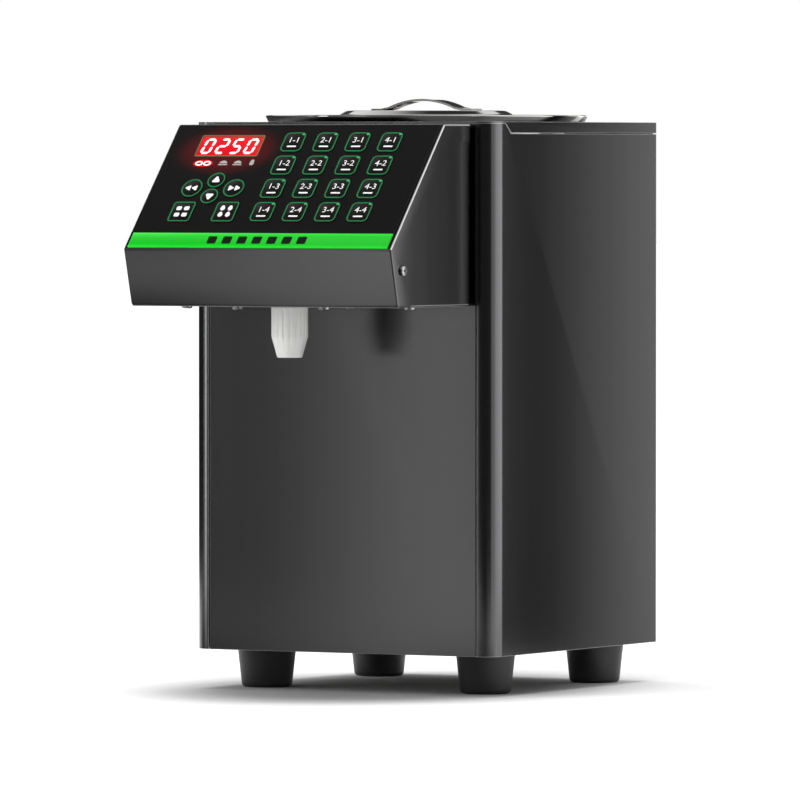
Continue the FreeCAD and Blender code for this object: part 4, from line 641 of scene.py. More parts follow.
def make_green_acrylic():
    # Dyed acrylic, lit from behind through its back: a vivid even green, with painted highlights
    # along its two long edges.
    material, tree, shader = new_finish("green_acrylic", 0.3)
    place = add(tree, "ShaderNodeTexCoord").outputs["Object"]
    cloud = add(tree, "ShaderNodeTexNoise", {}, {
        "Vector": place, "Scale": 1 / (30 * MM), "Detail": 2.0})
    shade = add(tree, "ShaderNodeMapRange", {}, {
        "Value": cloud.outputs["Fac"], "From Min": 0.3, "From Max": 0.7,
        "To Min": 0.94, "To Max": 1.0})
    # The two long edges are painted brighter, as highlights where they catch the light.
    middle = on_face(0, STRIP_MIDDLE)
    from_middle = add(tree, "ShaderNodeVectorMath", {"operation": "SUBTRACT"}, {
        0: place, 1: middle})
    up_slope = add(tree, "ShaderNodeVectorMath", {"operation": "DOT_PRODUCT"}, {
        0: from_middle.outputs["Vector"], 1: SLOPE_UP})
    from_line = add(tree, "ShaderNodeMath", {"operation": "ABSOLUTE"}, {
        0: up_slope.outputs["Value"]})
    painted_edge_highlight = add(tree, "ShaderNodeMapRange", {"interpolation_type": "SMOOTHSTEP"}, {
        "Value": from_line.outputs["Value"], "From Min": 0.5 * STRIP_HALF * MM,
        "From Max": 0.9 * STRIP_HALF * MM, "To Min": 0.74, "To Max": 1.0})
    both = add(tree, "ShaderNodeMath", {"operation": "MULTIPLY"}, {
        0: shade.outputs["Result"], 1: painted_edge_highlight.outputs["Result"]})
    tint = add(tree, "ShaderNodeHueSaturation", {}, {
        "Color": linear("#04C41C"), "Value": both.outputs["Value"]})
    tree.links.new(tint.outputs["Color"], shader.inputs["Base Color"])
    tree.links.new(tint.outputs["Color"], shader.inputs["Emission Color"])
    shader.inputs["Emission Strength"].default_value = 0.35
    return material


green_acrylic = make_green_acrylic()
dark_ink = make_ink("dark_screen_ink", "#08130A")
strip = bmesh.new()
strip_edge = rounded_outline(2 * STRIP_SIDE, 2 * STRIP_HALF, STRIP_CORNER, 2)
strip_face = rounded_outline(2 * (STRIP_SIDE - STRIP_BREAK), 2 * (STRIP_HALF - STRIP_BREAK),
                             STRIP_SHOULDER, 2)
loft(strip, [(strip_edge, 0.0), (strip_edge, STRIP_THICK - STRIP_SHOULDER),
             (strip_face, STRIP_THICK)], 0)
for place in range(BLOCK_COUNT):
    across = BLOCKS_MIDDLE + (place - (BLOCK_COUNT - 1) / 2) * BLOCK_PITCH
    slab(strip, moved(rounded_outline(BLOCK_WIDTH, BLOCK_HEIGHT, BLOCK_CORNER, 3), across, 0),
         STRIP_THICK - BLOCK_SINK, STRIP_THICK + BLOCK_SINK, 1)
finished("colour_strip_lit", mesh_on_face("colour_strip", strip, 0, STRIP_MIDDLE),
         [green_acrylic, dark_ink], "machine", ["colour_strip"])

# Nozzle: a moulded polypropylene outlet, fluted for the fingers that unscrew it.
# The flutes run down to the cone, and the cone keeps a trace of them.
NOZZLE_AXIS = Vector((0, -140.6, 280.2))
NOZZLE_RADIUS, NOZZLE_TIP, NOZZLE_BORE, NOZZLE_SOCKET = 13.1, 8.85, 5.0, 9.3
FLUTES, FLUTE_DEPTH, FLUTE_POINTS = 18, 0.8, 12
BARREL_END, CONE_END, SOCKET_END, NOZZLE_START = -22.1, -36.6, -16.3, -0.3
COLLAR_BREAK, COLLAR_END, FLUTE_START, FLUTE_FULL = 0.4, -1.8, -2.3, -3.0
SHOULDER_HALF, SHOULDER_IN = 0.5, 0.3
CONE_STEP, CONE_IN = 5.0, 1.6
TIP_ROUND, TIP_RINGS = 0.3, ((0.35, 1.0), (-0.1, 0.2), (-0.4, 0.0))
START_SHARE, SHOULDER_SHARE, CONE_SHARE = 0.7, 0.5, 0.15


def wall_rings(rings, axis):
    """A closed wall of revolution from rings of (radii round the axis, height)."""
    shape = bmesh.new()
    loops = []
    for radii, height in rings:
        count = len(radii)
        loops.append([shape.verts.new((axis + Vector((
            radius * math.cos(2 * math.pi * place / count),
            radius * math.sin(2 * math.pi * place / count), height))) * MM)
            for place, radius in enumerate(radii)])
    for low, high in zip(loops, loops[1:] + loops[:1]):
        for place in range(len(low)):
            after = (place + 1) % len(low)
            shape.faces.new((low[place], low[after], high[after], high[place]))
    bmesh.ops.recalc_face_normals(shape, faces=shape.faces)
    return shape


def fluted(radius, depth):
    """The radii of a fluted ring: narrow round-bottomed grooves between broad ribs."""
    radii = []
    for place in range(FLUTES * FLUTE_POINTS):
        turn = (place % FLUTE_POINTS) / FLUTE_POINTS
        groove = max(0.0, math.cos(2 * math.pi * turn)) ** 1.5
        radii.append(radius - depth * groove)
    return radii


def make_milky_plastic(name, code, roughness):
    # Moulded polypropylene: milky white, light goes a little way in, soft waxy shine.
    material, tree, shader = new_finish(name, roughness)
    place = add(tree, "ShaderNodeTexCoord").outputs["Object"]
    flow = add(tree, "ShaderNodeTexNoise", {}, {
        "Vector": place, "Scale": 1 / (6 * MM), "Detail": 2.0})
    tint = mottled(tree, flow.outputs["Fac"], code, 0.96, 1.0)
    skin = add(tree, "ShaderNodeBump", {}, {
        "Height": flow.outputs["Fac"], "Strength": 0.1, "Distance": 0.05 * MM})
    tree.links.new(tint, shader.inputs["Base Color"])
    tree.links.new(skin.outputs["Normal"], shader.inputs["Normal"])
    shader.inputs["IOR"].default_value = 1.49
    shader.inputs["Subsurface Weight"].default_value = 0.25
    shader.inputs["Subsurface Radius"].default_value = (1.0, 1.0, 1.0)
    shader.inputs["Subsurface Scale"].default_value = 2 * MM
    return material


milky_plastic = make_milky_plastic("moulded_polypropylene", "#E5E5E2", 0.35)
ring = FLUTES * FLUTE_POINTS
nozzle_rings = [
    ([NOZZLE_SOCKET] * ring, NOZZLE_START),
    ([NOZZLE_RADIUS - COLLAR_BREAK] * ring, NOZZLE_START),
    ([NOZZLE_RADIUS] * ring, NOZZLE_START - COLLAR_BREAK),
    ([NOZZLE_RADIUS] * ring, COLLAR_END),
    (fluted(NOZZLE_RADIUS, FLUTE_DEPTH * START_SHARE), FLUTE_START),
    (fluted(NOZZLE_RADIUS, FLUTE_DEPTH), FLUTE_FULL),
    (fluted(NOZZLE_RADIUS, FLUTE_DEPTH), BARREL_END + SHOULDER_HALF),
    (fluted(NOZZLE_RADIUS - SHOULDER_IN, FLUTE_DEPTH * SHOULDER_SHARE),
     BARREL_END - SHOULDER_HALF),
    (fluted(NOZZLE_RADIUS - CONE_IN, FLUTE_DEPTH * CONE_SHARE), BARREL_END - CONE_STEP),
    *[([NOZZLE_TIP + out] * ring, CONE_END + up) for out, up in TIP_RINGS],
    ([NOZZLE_BORE + TIP_ROUND] * ring, CONE_END),
    ([NOZZLE_BORE] * ring, CONE_END + TIP_ROUND),
    ([NOZZLE_BORE] * ring, SOCKET_END),
    ([NOZZLE_SOCKET] * ring, SOCKET_END),
]
nozzle_mesh = as_mesh("nozzle", wall_rings(nozzle_rings, NOZZLE_AXIS))
finished("nozzle_fluted", nozzle_mesh, [milky_plastic], "nozzle", ["nozzle"])

# Lid: a pressed and polished stainless disc with a raised middle and a shallow finger dish.
# The press leaves fine rings about the middle, which bend its reflections a little.
LID_AXIS = Vector((0, 60.3, 412.0))
LID_STEPS = 192


def make_polished_steel():
    # Polished stainless steel: a bright mirror, dulled a little by fine rings and finger haze.
    material, tree, shader = new_finish("polished_stainless", 0.1, 1.0)
    place = add(tree, "ShaderNodeTexCoord").outputs["Object"]
    centred = add(tree, "ShaderNodeVectorMath", {"operation": "SUBTRACT"}, {
        0: place, 1: LID_AXIS * MM})
    flat = add(tree, "ShaderNodeVectorMath", {"operation": "MULTIPLY"}, {
        0: centred.outputs["Vector"], 1: (1, 1, 0)})
    radius = add(tree, "ShaderNodeVectorMath", {"operation": "LENGTH"}, {
        0: flat.outputs["Vector"]})
    # Polishing rings are finer than 0.1 mm. They are drawn 1 mm apart.
    rings = add(tree, "ShaderNodeTexNoise", {"noise_dimensions": "1D"}, {
        "W": radius.outputs["Value"], "Scale": 1 / (1 * MM), "Detail": 2.0})
    haze = add(tree, "ShaderNodeTexNoise", {}, {
        "Vector": place, "Scale": 1 / (35 * MM), "Detail": 3.0})
    gloss = add(tree, "ShaderNodeMapRange", {}, {
        "Value": haze.outputs["Fac"], "From Min": 0.35, "From Max": 0.65,
        "To Min": 0.05, "To Max": 0.12})
    wave = add(tree, "ShaderNodeBump", {}, {
        "Height": rings.outputs["Fac"], "Strength": 0.12, "Distance": 0.02 * MM})
    tree.links.new(gloss.outputs["Result"], shader.inputs["Roughness"])
    tree.links.new(wave.outputs["Normal"], shader.inputs["Normal"])
    shader.inputs["Base Color"].default_value = linear("#C6C5C3")
    return material


def lathe(name, outline, axis, steps):
    """Turns a closed outline of (radius, height) pairs in mm about an upright axis."""
    shape = bmesh.new()
    loops = []
    for radius, height in outline:
        if radius == 0:
            loops.append([shape.verts.new((axis + Vector((0, 0, height))) * MM)])
            continue
        loops.append([shape.verts.new((axis + Vector((
            radius * math.cos(2 * math.pi * step / steps),
            radius * math.sin(2 * math.pi * step / steps), height))) * MM)
            for step in range(steps)])
    for low, high in zip(loops, loops[1:] + loops[:1]):
        if len(low) == 1 and len(high) == 1:
            continue
        for step in range(steps):
            after = (step + 1) % steps
            corners = [low[step % len(low)], low[after % len(low)],
                       high[after % len(high)], high[step % len(high)]]
            shape.faces.new(list(dict.fromkeys(corners)))
    bmesh.ops.recalc_face_normals(shape, faces=shape.faces)
    return as_mesh(name, shape)


def arc(centre_radius, centre_height, radius, start, end, steps=5):
    """Points of a quarter or other arc of an outline, angles in degrees."""
    points = []
    for step in range(steps + 1):
        angle = math.radians(start + (end - start) * step / steps)
        points.append((centre_radius + radius * math.cos(angle),
                       centre_height + radius * math.sin(angle)))
    return points


polished_steel = make_polished_steel()
lid_outline = [
    (115.9, 0.3), *arc(117.1, 4.1, 1.0, -10, 90, 6), (66.4, 5.1), (65.0, 5.3), (63.6, 5.9),
    (59.6, 8.0), (58.6, 8.4), (57.2, 8.5), (29.0, 8.5), (28.0, 8.3), (27.2, 7.8), (23.8, 5.0),
    (22.8, 4.6), (21.6, 4.5), (0, 4.5), (0, 3.5), (23.0, 3.5), (28.0, 7.5), (58.4, 7.5),
    (65.0, 4.1), (116.9, 4.1), (114.9, 0.3)]
finished("lid_pressed", lathe("lid", lid_outline, LID_AXIS, LID_STEPS), [polished_steel],
         "lid", ["lid"])

# Lid handle: a flat polished strap bent to a low arch, spot-welded to the lid by its two feet.
HANDLE_SPAN, HANDLE_RISE, HANDLE_THICK, HANDLE_WIDTH, HANDLE_FOOT = 66.0, 8.6, 1.5, 16.0, 9.0
LID_TOP = 8.5
FOOT_BEND, ARCH_STEPS, STRAP_EDGE = 1.5, 24, 0.3 * MM
HANDLE_RADIUS = (HANDLE_SPAN ** 2 / 4 + HANDLE_RISE ** 2) / (2 * HANDLE_RISE)
HALF_SWEEP = math.asin(HANDLE_SPAN / 2 / HANDLE_RADIUS)


def strap_line():
    """The strap's outer line from foot to foot, as (across, up) pairs in mm."""
    points = [(-HANDLE_SPAN / 2 - HANDLE_FOOT, HANDLE_THICK),
              (-HANDLE_SPAN / 2 - FOOT_BEND, HANDLE_THICK)]
    middle = LID_TOP + HANDLE_RISE - HANDLE_RADIUS
    for step in range(2, ARCH_STEPS - 1):
        angle = HALF_SWEEP * (2 * step / ARCH_STEPS - 1)
        points.append((HANDLE_RADIUS * math.sin(angle),
                       middle + HANDLE_RADIUS * math.cos(angle) - LID_TOP))
    points += [(-across, up) for across, up in points[1::-1]]
    return points


def make_strap():
    outer = strap_line()
    inner = []
    for place, (across, up) in enumerate(outer):
        before = outer[max(place - 1, 0)]
        after = outer[min(place + 1, len(outer) - 1)]
        run = Vector((after[0] - before[0], after[1] - before[1])).normalized()
        inner.append((across + run.y * HANDLE_THICK, max(up - run.x * HANDLE_THICK, 0.0)))
    shape = bmesh.new()
    edges = []
    for side in (-HANDLE_WIDTH / 2, HANDLE_WIDTH / 2):
        for line in (outer, inner):
            edges.append([shape.verts.new((LID_AXIS + Vector((across, side, LID_TOP + up))) * MM)
                          for across, up in line])
    near_top, near_low, far_top, far_low = edges
    for place in range(len(outer) - 1):
        after = place + 1
        for one, other in ((near_top, far_top), (far_top, far_low), (far_low, near_low),
                           (near_low, near_top)):
            shape.faces.new((one[place], one[after], other[after], other[place]))
    for end in (0, -1):
        shape.faces.new((near_top[end], far_top[end], far_low[end], near_low[end]))
    bmesh.ops.recalc_face_normals(shape, faces=shape.faces)
    return as_mesh("lid_handle", shape)


finished("lid_strap", make_strap(), [polished_steel], "lid", ["lid_handle"],
         STRAP_EDGE)

# Feet: four black nylon feet, turned to a slight taper, bolted under the base tray.
# One foot is drawn, and geometry nodes set it on the four bolts.
FOOT_OUTLINE = [
    (2.7, 14.0), (7.0, 14.0), (7.0, 0.4), (7.4, 0.0), *arc(15.5, 3.0, 3.0, -90, -5, 6),
    (21.2, 27.0), (21.4, 28.4), (20.8, 29.0), (2.7, 29.0)]
FOOT_X, FOOT_DEPTHS, FOOT_STEPS = 91.0, (-15.7, 151.3), 64
FOOT_SPOTS = [(side * FOOT_X, depth, 0.0) for side in (-1, 1) for depth in FOOT_DEPTHS]


def set_on_points_tree():
    """Geometry nodes that set one piece on every point, facing along the point's direction."""
    tree = bpy.data.node_groups.new("set_on_points", "GeometryNodeTree")
    sockets = {}
    for name, kind in (("Points", "NodeSocketGeometry"), ("One piece", "NodeSocketObject"),
                       ("Finish", "NodeSocketMaterial"), ("Largest turn", "NodeSocketFloat"),
                       ("Turn seed", "NodeSocketInt")):
        sockets[name] = tree.interface.new_socket(name, in_out="INPUT", socket_type=kind)
    tree.interface.new_socket("Pieces", in_out="OUTPUT", socket_type="NodeSocketGeometry")
    given = add(tree, "NodeGroupInput")
    facing = add(tree, "GeometryNodeInputNamedAttribute", {"data_type": "FLOAT_VECTOR"},
                 {"Name": "facing"})
    upright = add(tree, "FunctionNodeAlignRotationToVector", {"axis": "Z"}, {
        "Vector": facing.outputs["Attribute"]})
    turn = add(tree, "FunctionNodeRandomValue", {"data_type": "FLOAT"}, {
        "Max": given.outputs["Largest turn"], "Seed": given.outputs["Turn seed"]})
    spin = add(tree, "ShaderNodeCombineXYZ", {}, {"Z": turn.outputs["Value"]})
    as_turn = add(tree, "FunctionNodeEulerToRotation", {}, {"Euler": spin.outputs["Vector"]})
    turned = add(tree, "FunctionNodeRotateRotation", {"rotation_space": "LOCAL"}, {
        "Rotation": upright.outputs["Rotation"], "Rotate By": as_turn.outputs["Rotation"]})
    shown = add(tree, "GeometryNodeObjectInfo", {"transform_space": "ORIGINAL"}, {
        "Object": given.outputs["One piece"]})
    copies = add(tree, "GeometryNodeInstanceOnPoints", {}, {
        "Points": given.outputs["Points"], "Instance": shown.outputs["Geometry"],
        "Rotation": turned.outputs["Rotation"]})
    real = add(tree, "GeometryNodeRealizeInstances", {}, {
        "Geometry": copies.outputs["Instances"]})
    coloured = add(tree, "GeometryNodeSetMaterial", {}, {
        "Geometry": real.outputs["Geometry"], "Material": given.outputs["Finish"]})
    add(tree, "NodeGroupOutput", {}, {"Pieces": coloured.outputs["Geometry"]})
    return tree, {name: socket.identifier for name, socket in sockets.items()}


set_on_points, point_inputs = set_on_points_tree()


def repeated(name, one_mesh, spots, finish, largest_turn=0.0, seed=1):
    """One plain mesh with a copy of a piece at each spot, a place in mm and a direction."""
    points = bpy.data.meshes.new(name + "_points")
    points.from_pydata([Vector(place) * MM for place, direction in spots], [], [])
    facing = points.attributes.new("facing", "FLOAT_VECTOR", "POINT")
    for item, (place, direction) in zip(facing.data, spots):
        item.vector = direction
    carrier = new_object(name + "_points", points)
    one_piece = new_object(name + "_one", one_mesh)
    modifier = carrier.modifiers.new("set_on_points", "NODES")
    modifier.node_group = set_on_points
    modifier[point_inputs["One piece"]] = one_piece
    modifier[point_inputs["Finish"]] = finish
    modifier[point_inputs["Largest turn"]] = largest_turn
    modifier[point_inputs["Turn seed"]] = seed
    mesh = applied(carrier)
    mesh.name = name
    carrier.modifiers.remove(modifier)
    bpy.data.objects.remove(carrier)
    bpy.data.objects.remove(one_piece)
    return mesh


def make_black_nylon(name, code, roughness):
    # Moulded nylon with a spark-eroded skin: black, dull, with a fine grain.
    material, tree, shader = new_finish(name, roughness)
    place = add(tree, "ShaderNodeTexCoord").outputs["Object"]
    # Spark grain is about 0.1 mm. It is drawn at 0.8 mm.
    grain = add(tree, "ShaderNodeTexNoise", {}, {
        "Vector": place, "Scale": 1 / (0.8 * MM), "Detail": 3.0})
    tint = mottled(tree, grain.outputs["Fac"], code, 0.85, 1.15)
    skin = add(tree, "ShaderNodeBump", {}, {
        "Height": grain.outputs["Fac"], "Strength": 0.3, "Distance": 0.03 * MM})
    tree.links.new(tint, shader.inputs["Base Color"])
    tree.links.new(skin.outputs["Normal"], shader.inputs["Normal"])
    shader.inputs["IOR"].default_value = 1.53
    return material


black_nylon = make_black_nylon("moulded_nylon", "#131314", 0.42)
one_foot = lathe("one_foot", FOOT_OUTLINE, Vector((0, 0, 0)), FOOT_STEPS)
upward = Vector((0, 0, 1))
feet_mesh = repeated("feet", one_foot, [(spot, upward) for spot in FOOT_SPOTS], black_nylon)
finished("feet_turned", feet_mesh, [black_nylon], "machine", ["feet"])

# Panel screws: domed cross-head screws of bright steel, six under the head, one on each cheek
# and four down each side of the rear cover. Geometry nodes set them, each turned its own way.
SCREW_OUTLINE = [
    (0, -6.0), (1.9, -6.0), (1.9, 0.0), (3.75, 0.0), (3.95, 0.2),
    *arc(2.45, 0.9, 1.5, 0, 90, 6), (0, 2.4)]
SCREW_STEPS, SCREW_TURNS_SEED = 32, 7
CROSS_HALF, CROSS_REACH, CROSS_FLOOR, ABOVE_HEAD = 0.45, 1.9, 0.9, 4.0
CHEEK_X, CHEEK_SCREW_Y, CHEEK_SCREW_Z = 109.5, -172.1, 306.5
REAR_SCREWS, REAR_SCREW_X, REAR_FACE_Y = 4, 118.0, 186.3
REAR_SCREW_LOW, REAR_SCREW_SPAN = 69.0, 303.0
FRONT_Y, UNDERSIDE_Z = -65.7, 280.2
UNDER_HEAD = ((63.5, 91.7), (87.6, 35.4), (29.7, 24.6))


def one_screw():
    """The domed head and shank, with the cross recess cut out of it."""
    blank = lathe("screw", SCREW_OUTLINE, Vector((0, 0, 0)), SCREW_STEPS)
    steel = new_object("screw_blank", blank)
    recess = bmesh.new()
    far, near = CROSS_REACH, CROSS_HALF
    cross = [(far, -near), (far, near), (near, near), (near, far), (-near, far), (-near, near),
             (-far, near), (-far, -near), (-near, -near), (-near, -far), (near, -far),
             (near, -near)]
    slab(recess, cross, CROSS_FLOOR, ABOVE_HEAD)
    recess.transform(Matrix.Scale(MM, 4))
    bmesh.ops.recalc_face_normals(recess, faces=recess.faces)
    cutter = new_object("cross", as_mesh("cross", recess))
    cut = steel.modifiers.new("cross", "BOOLEAN")
    cut.object = cutter
    cut.solver = "EXACT"
    mesh = applied(steel)
    bpy.data.objects.remove(steel)
    bpy.data.objects.remove(cutter)
    return mesh


def make_bright_screws():
    # Nickel-plated steel: bright, slightly yellow-grey, with a brushed rather than mirror shine.
    material, tree, shader = new_finish("nickel_plated_steel", 0.25, 1.0)
    place = add(tree, "ShaderNodeTexCoord").outputs["Object"]
    wear = add(tree, "ShaderNodeTexNoise", {}, {
        "Vector": place, "Scale": 1 / (1.5 * MM), "Detail": 2.0})
    gloss = add(tree, "ShaderNodeMapRange", {}, {
        "Value": wear.outputs["Fac"], "To Min": 0.18, "To Max": 0.34})
    tree.links.new(gloss.outputs["Result"], shader.inputs["Roughness"])
    shader.inputs["Base Color"].default_value = linear("#A9A9A8")
    return material


bright_screws = make_bright_screws()
screw_spots = []
for side in (-1, 1):
    screw_spots.append(((side * CHEEK_X, CHEEK_SCREW_Y, CHEEK_SCREW_Z), (side, 0, 0)))
    for place in range(REAR_SCREWS):
        height = REAR_SCREW_LOW + place * (REAR_SCREW_SPAN / (REAR_SCREWS - 1))
        screw_spots.append(((side * REAR_SCREW_X, REAR_FACE_Y, height), (0, 1, 0)))
    for reach, across in UNDER_HEAD:
        screw_spots.append(((side * across, FRONT_Y - reach, UNDERSIDE_Z), (0, 0, -1)))
screws_mesh = repeated("panel_screws", one_screw(), screw_spots, bright_screws,
                       math.pi / 2, SCREW_TURNS_SEED)
finished("panel_screws_set", screws_mesh, [bright_screws], "machine",
         ["panel_screws"])

# Power inlet and rocker: a black moulded socket with three nickel pins, and a rocker over it.
# Both snap into the rear cover. The rocker carries a line and a ring for on and off.
SOCKET_X, SOCKET_Z, SOCKET_FLOOR = 70.0, 70.0, 170.1
PIN_PITCH, PIN_RAISE, PIN_THICK, PIN_TALL, PIN_LENGTH = 7.0, 2.0, 2.0, 4.0, 11.0
PIN_SPOTS = [(SOCKET_X + side * PIN_PITCH, SOCKET_Z + rise * PIN_RAISE)
             for side, rise in ((-1, -1), (0, 1), (1, -1))]
ROCKER_PIVOT, ROCKER_TILT = Vector((70.0, 184.1, 97.0)), math.radians(-8)
ROCKER_HALF, ROCKER_FACE, ROCKER_RISE = 11.3, 1.0, 1.6
MARK_REACH, MARK_HEIGHT, MARK_STROKE, PRINT_THICK = 6.5, 5.0, 0.9, 0.05
HALF_SHARE, PIN_ROOT_SHARE, PIN_END_SHARE = 0.51, 0.05, 1.05
INLET_EDGE, ROCKER_EDGE = 0.2 * MM, 0.15 * MM


def on_pin(place):
    """Whether a point in metres lies on one of the three pins."""
    x, y, z = place / MM
    out_share = (y - SOCKET_FLOOR) / PIN_LENGTH
    return any(abs(x - across) < HALF_SHARE * PIN_THICK and abs(z - up) < HALF_SHARE * PIN_TALL
               and PIN_ROOT_SHARE < out_share < PIN_END_SHARE for across, up in PIN_SPOTS)


def on_rocker(side):
    """Where the middle of one half of the rocker's V-shaped face lies, as a matrix in mm."""
    out = ROCKER_FACE + ROCKER_RISE * MARK_REACH / ROCKER_HALF
    slope = side * math.atan2(ROCKER_RISE, ROCKER_HALF)
    return (Matrix.Translation(ROCKER_PIVOT) @ Matrix.Rotation(ROCKER_TILT, 4, "Z")
            @ Matrix.Translation((side * MARK_REACH, out, 0)) @ Matrix.Rotation(slope, 4, "Z")
            @ Matrix.Rotation(math.radians(-90), 4, "X"))


inlet_skin = closed_skin("power_inlet")
inlet_skin.materials.append(black_nylon)
inlet_skin.materials.append(bright_screws)
for face in inlet_skin.polygons:
    face.material_index = 1 if on_pin(face.center) else 0
finished("power_inlet_dressed", inlet_skin, [], "machine", ["power_inlet"],
         INLET_EDGE)
rocker_plastic = make_black_nylon("moulded_polycarbonate", "#101011", 0.3)
refinished("power_rocker", rocker_plastic, "rocker", ROCKER_EDGE)
marks = bmesh.new()
for side in (-1, 1):
    mark = bmesh.new()
    if side < 0:
        slab(mark, rounded_outline(MARK_STROKE, MARK_HEIGHT, MARK_STROKE / 2, 3),
             -PRINT_THICK, PRINT_THICK)
    else:
        frame_line(mark, round_outline(MARK_HEIGHT / 2),
                   round_outline(MARK_HEIGHT / 2 - MARK_STROKE), -PRINT_THICK, PRINT_THICK)
    bmesh.ops.recalc_face_normals(mark, faces=mark.faces)
    mark.transform(Matrix.Scale(MM, 4) @ on_rocker(side))
    mark_mesh = as_mesh("mark", mark)
    marks.from_mesh(mark_mesh)
    bpy.data.meshes.remove(mark_mesh)
finished("rocker_marks", as_mesh("rocker_marks", marks), [white_ink], "rocker")

# Inside the casing: tank, pump, hoses, boards and valve body, which keep their CAD shapes.
# They show when the lid is off and in the exploded part, each in its own real finish.


def make_satin_steel():
    # Stainless sheet as it leaves the mill: light grey, satin, faintly cloudy.
    material, tree, shader = new_finish("mill_finish_stainless", 0.35, 1.0)
    place = add(tree, "ShaderNodeTexCoord").outputs["Object"]
    cloud = add(tree, "ShaderNodeTexNoise", {}, {
        "Vector": place, "Scale": 1 / (12 * MM), "Detail": 4.0})
    gloss = add(tree, "ShaderNodeMapRange", {}, {
        "Value": cloud.outputs["Fac"], "From Min": 0.3, "From Max": 0.7,
        "To Min": 0.28, "To Max": 0.42})
    tint = mottled(tree, cloud.outputs["Fac"], "#B4B4B2", 0.92, 1.05)
    tree.links.new(gloss.outputs["Result"], shader.inputs["Roughness"])
    tree.links.new(tint, shader.inputs["Base Color"])
    return material


def dress(node, finish):
    """Gives a CAD piece a finish in place of its plain one."""
    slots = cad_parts[node].data.materials
    slots.clear()
    slots.append(finish)


def make_plain_plastic(name, code, roughness, grain_size):
    # Moulded plastic parts: one dyed colour with slight flow marks and a low sheen.
    material, tree, shader = new_finish(name, roughness)
    place = add(tree, "ShaderNodeTexCoord").outputs["Object"]
    flow = add(tree, "ShaderNodeTexNoise", {}, {
        "Vector": place, "Scale": 1 / (grain_size * MM), "Detail": 3.0})
    tint = mottled(tree, flow.outputs["Fac"], code, 0.93, 1.05)
    tree.links.new(tint, shader.inputs["Base Color"])
    return material


def make_circuit_board():
    # Glass-fibre board under green solder resist: glossy, with the copper tracks as paler lines.
    material, tree, shader = new_finish("solder_resist_board", 0.25)
    place = add(tree, "ShaderNodeTexCoord").outputs["Object"]
    tracks = add(tree, "ShaderNodeTexVoronoi", {"distance": "MANHATTAN"}, {
        "Vector": place, "Scale": 1 / (5 * MM)})
    shade = add(tree, "ShaderNodeMapRange", {}, {
        "Value": tracks.outputs["Distance"], "From Min": 0.25, "From Max": 0.4,
        "To Min": 1.25, "To Max": 0.85})
    tint = add(tree, "ShaderNodeHueSaturation", {}, {
        "Color": linear("#12552F"), "Value": shade.outputs["Result"]})
    tree.links.new(tint.outputs["Color"], shader.inputs["Base Color"])
    return material


satin_steel = make_satin_steel()
silicone = make_milky_plastic("extruded_silicone", "#D9D6CF", 0.45)
module_plastic = make_plain_plastic("module_plastic", "#2B2B2D", 0.5, 3)
heater_silicone = make_plain_plastic("heater_silicone", "#B4551F", 0.6, 4)
pump_plastic = make_plain_plastic("glass_filled_polyamide", "#2E3236", 0.45, 5)
gear_plastic = make_plain_plastic("acetal", "#D8D2BF", 0.35, 5)
seal_silicone = make_plain_plastic("seal_silicone", "#C9C7C1", 0.55, 6)
INNER_FINISHES = {
    satin_steel: ("base_tray", "tank_outlet", "pump_bracket", "power_supply", "foot_bolts",
                  "gear_motor"),
    polished_steel: ("tank",),
    silicone: ("inlet_hose", "outlet_hose"),
    milky_plastic: ("valve_body", "valve_poppet"),
    module_plastic: ("display_module",),
    heater_silicone: ("heater_band",),
    pump_plastic: ("pump_body", "pump_cover"),
    gear_plastic: ("drive_gear", "driven_gear"),
    seal_silicone: ("lid_seal",),
    make_circuit_board(): ("control_board",),
}
for inner_finish, nodes in INNER_FINISHES.items():
    for node in nodes:
        dress(node, inner_finish)

# Valve spring: wound stainless wire under the anti-drip poppet, seated on the valve's floor.
# It gets a mesh of its own.
spring = refinished("valve_spring", satin_steel, "machine", 0.0)
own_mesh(spring)

# Floor, light and camera: a white sweep, a soft even sky, two softboxes, and cards that only the
# metal's reflections see, as a studio sets them round a steel box to shape its lights and darks.
FLOOR_HALF = 30.0
SKY_LEVEL = 0.5
NEAR_GLOW, FAR_GLOW = 0.24, 0.4
FLOOR_OVAL = (0.17, 0.22, 1.0)
NEAR_SHARES, FAR_SHARES, DARK_SHARES, DARK_LEVEL = (0.82, 1.2), (1.6, 6.0), (0.55, 1.0), 0.5


def seen_directly(tree):
    """1 for what the camera sees itself, in a mirror or through glass, and 0 for other light."""
    path = add(tree, "ShaderNodeLightPath")
    seen = add(tree, "ShaderNodeMath", {"operation": "MAXIMUM"}, {
        0: path.outputs["Is Camera Ray"], 1: path.outputs["Is Glossy Ray"]})
    return add(tree, "ShaderNodeMath", {"operation": "MAXIMUM"}, {
        0: seen.outputs["Value"], 1: path.outputs["Is Transmission Ray"]}).outputs["Value"]


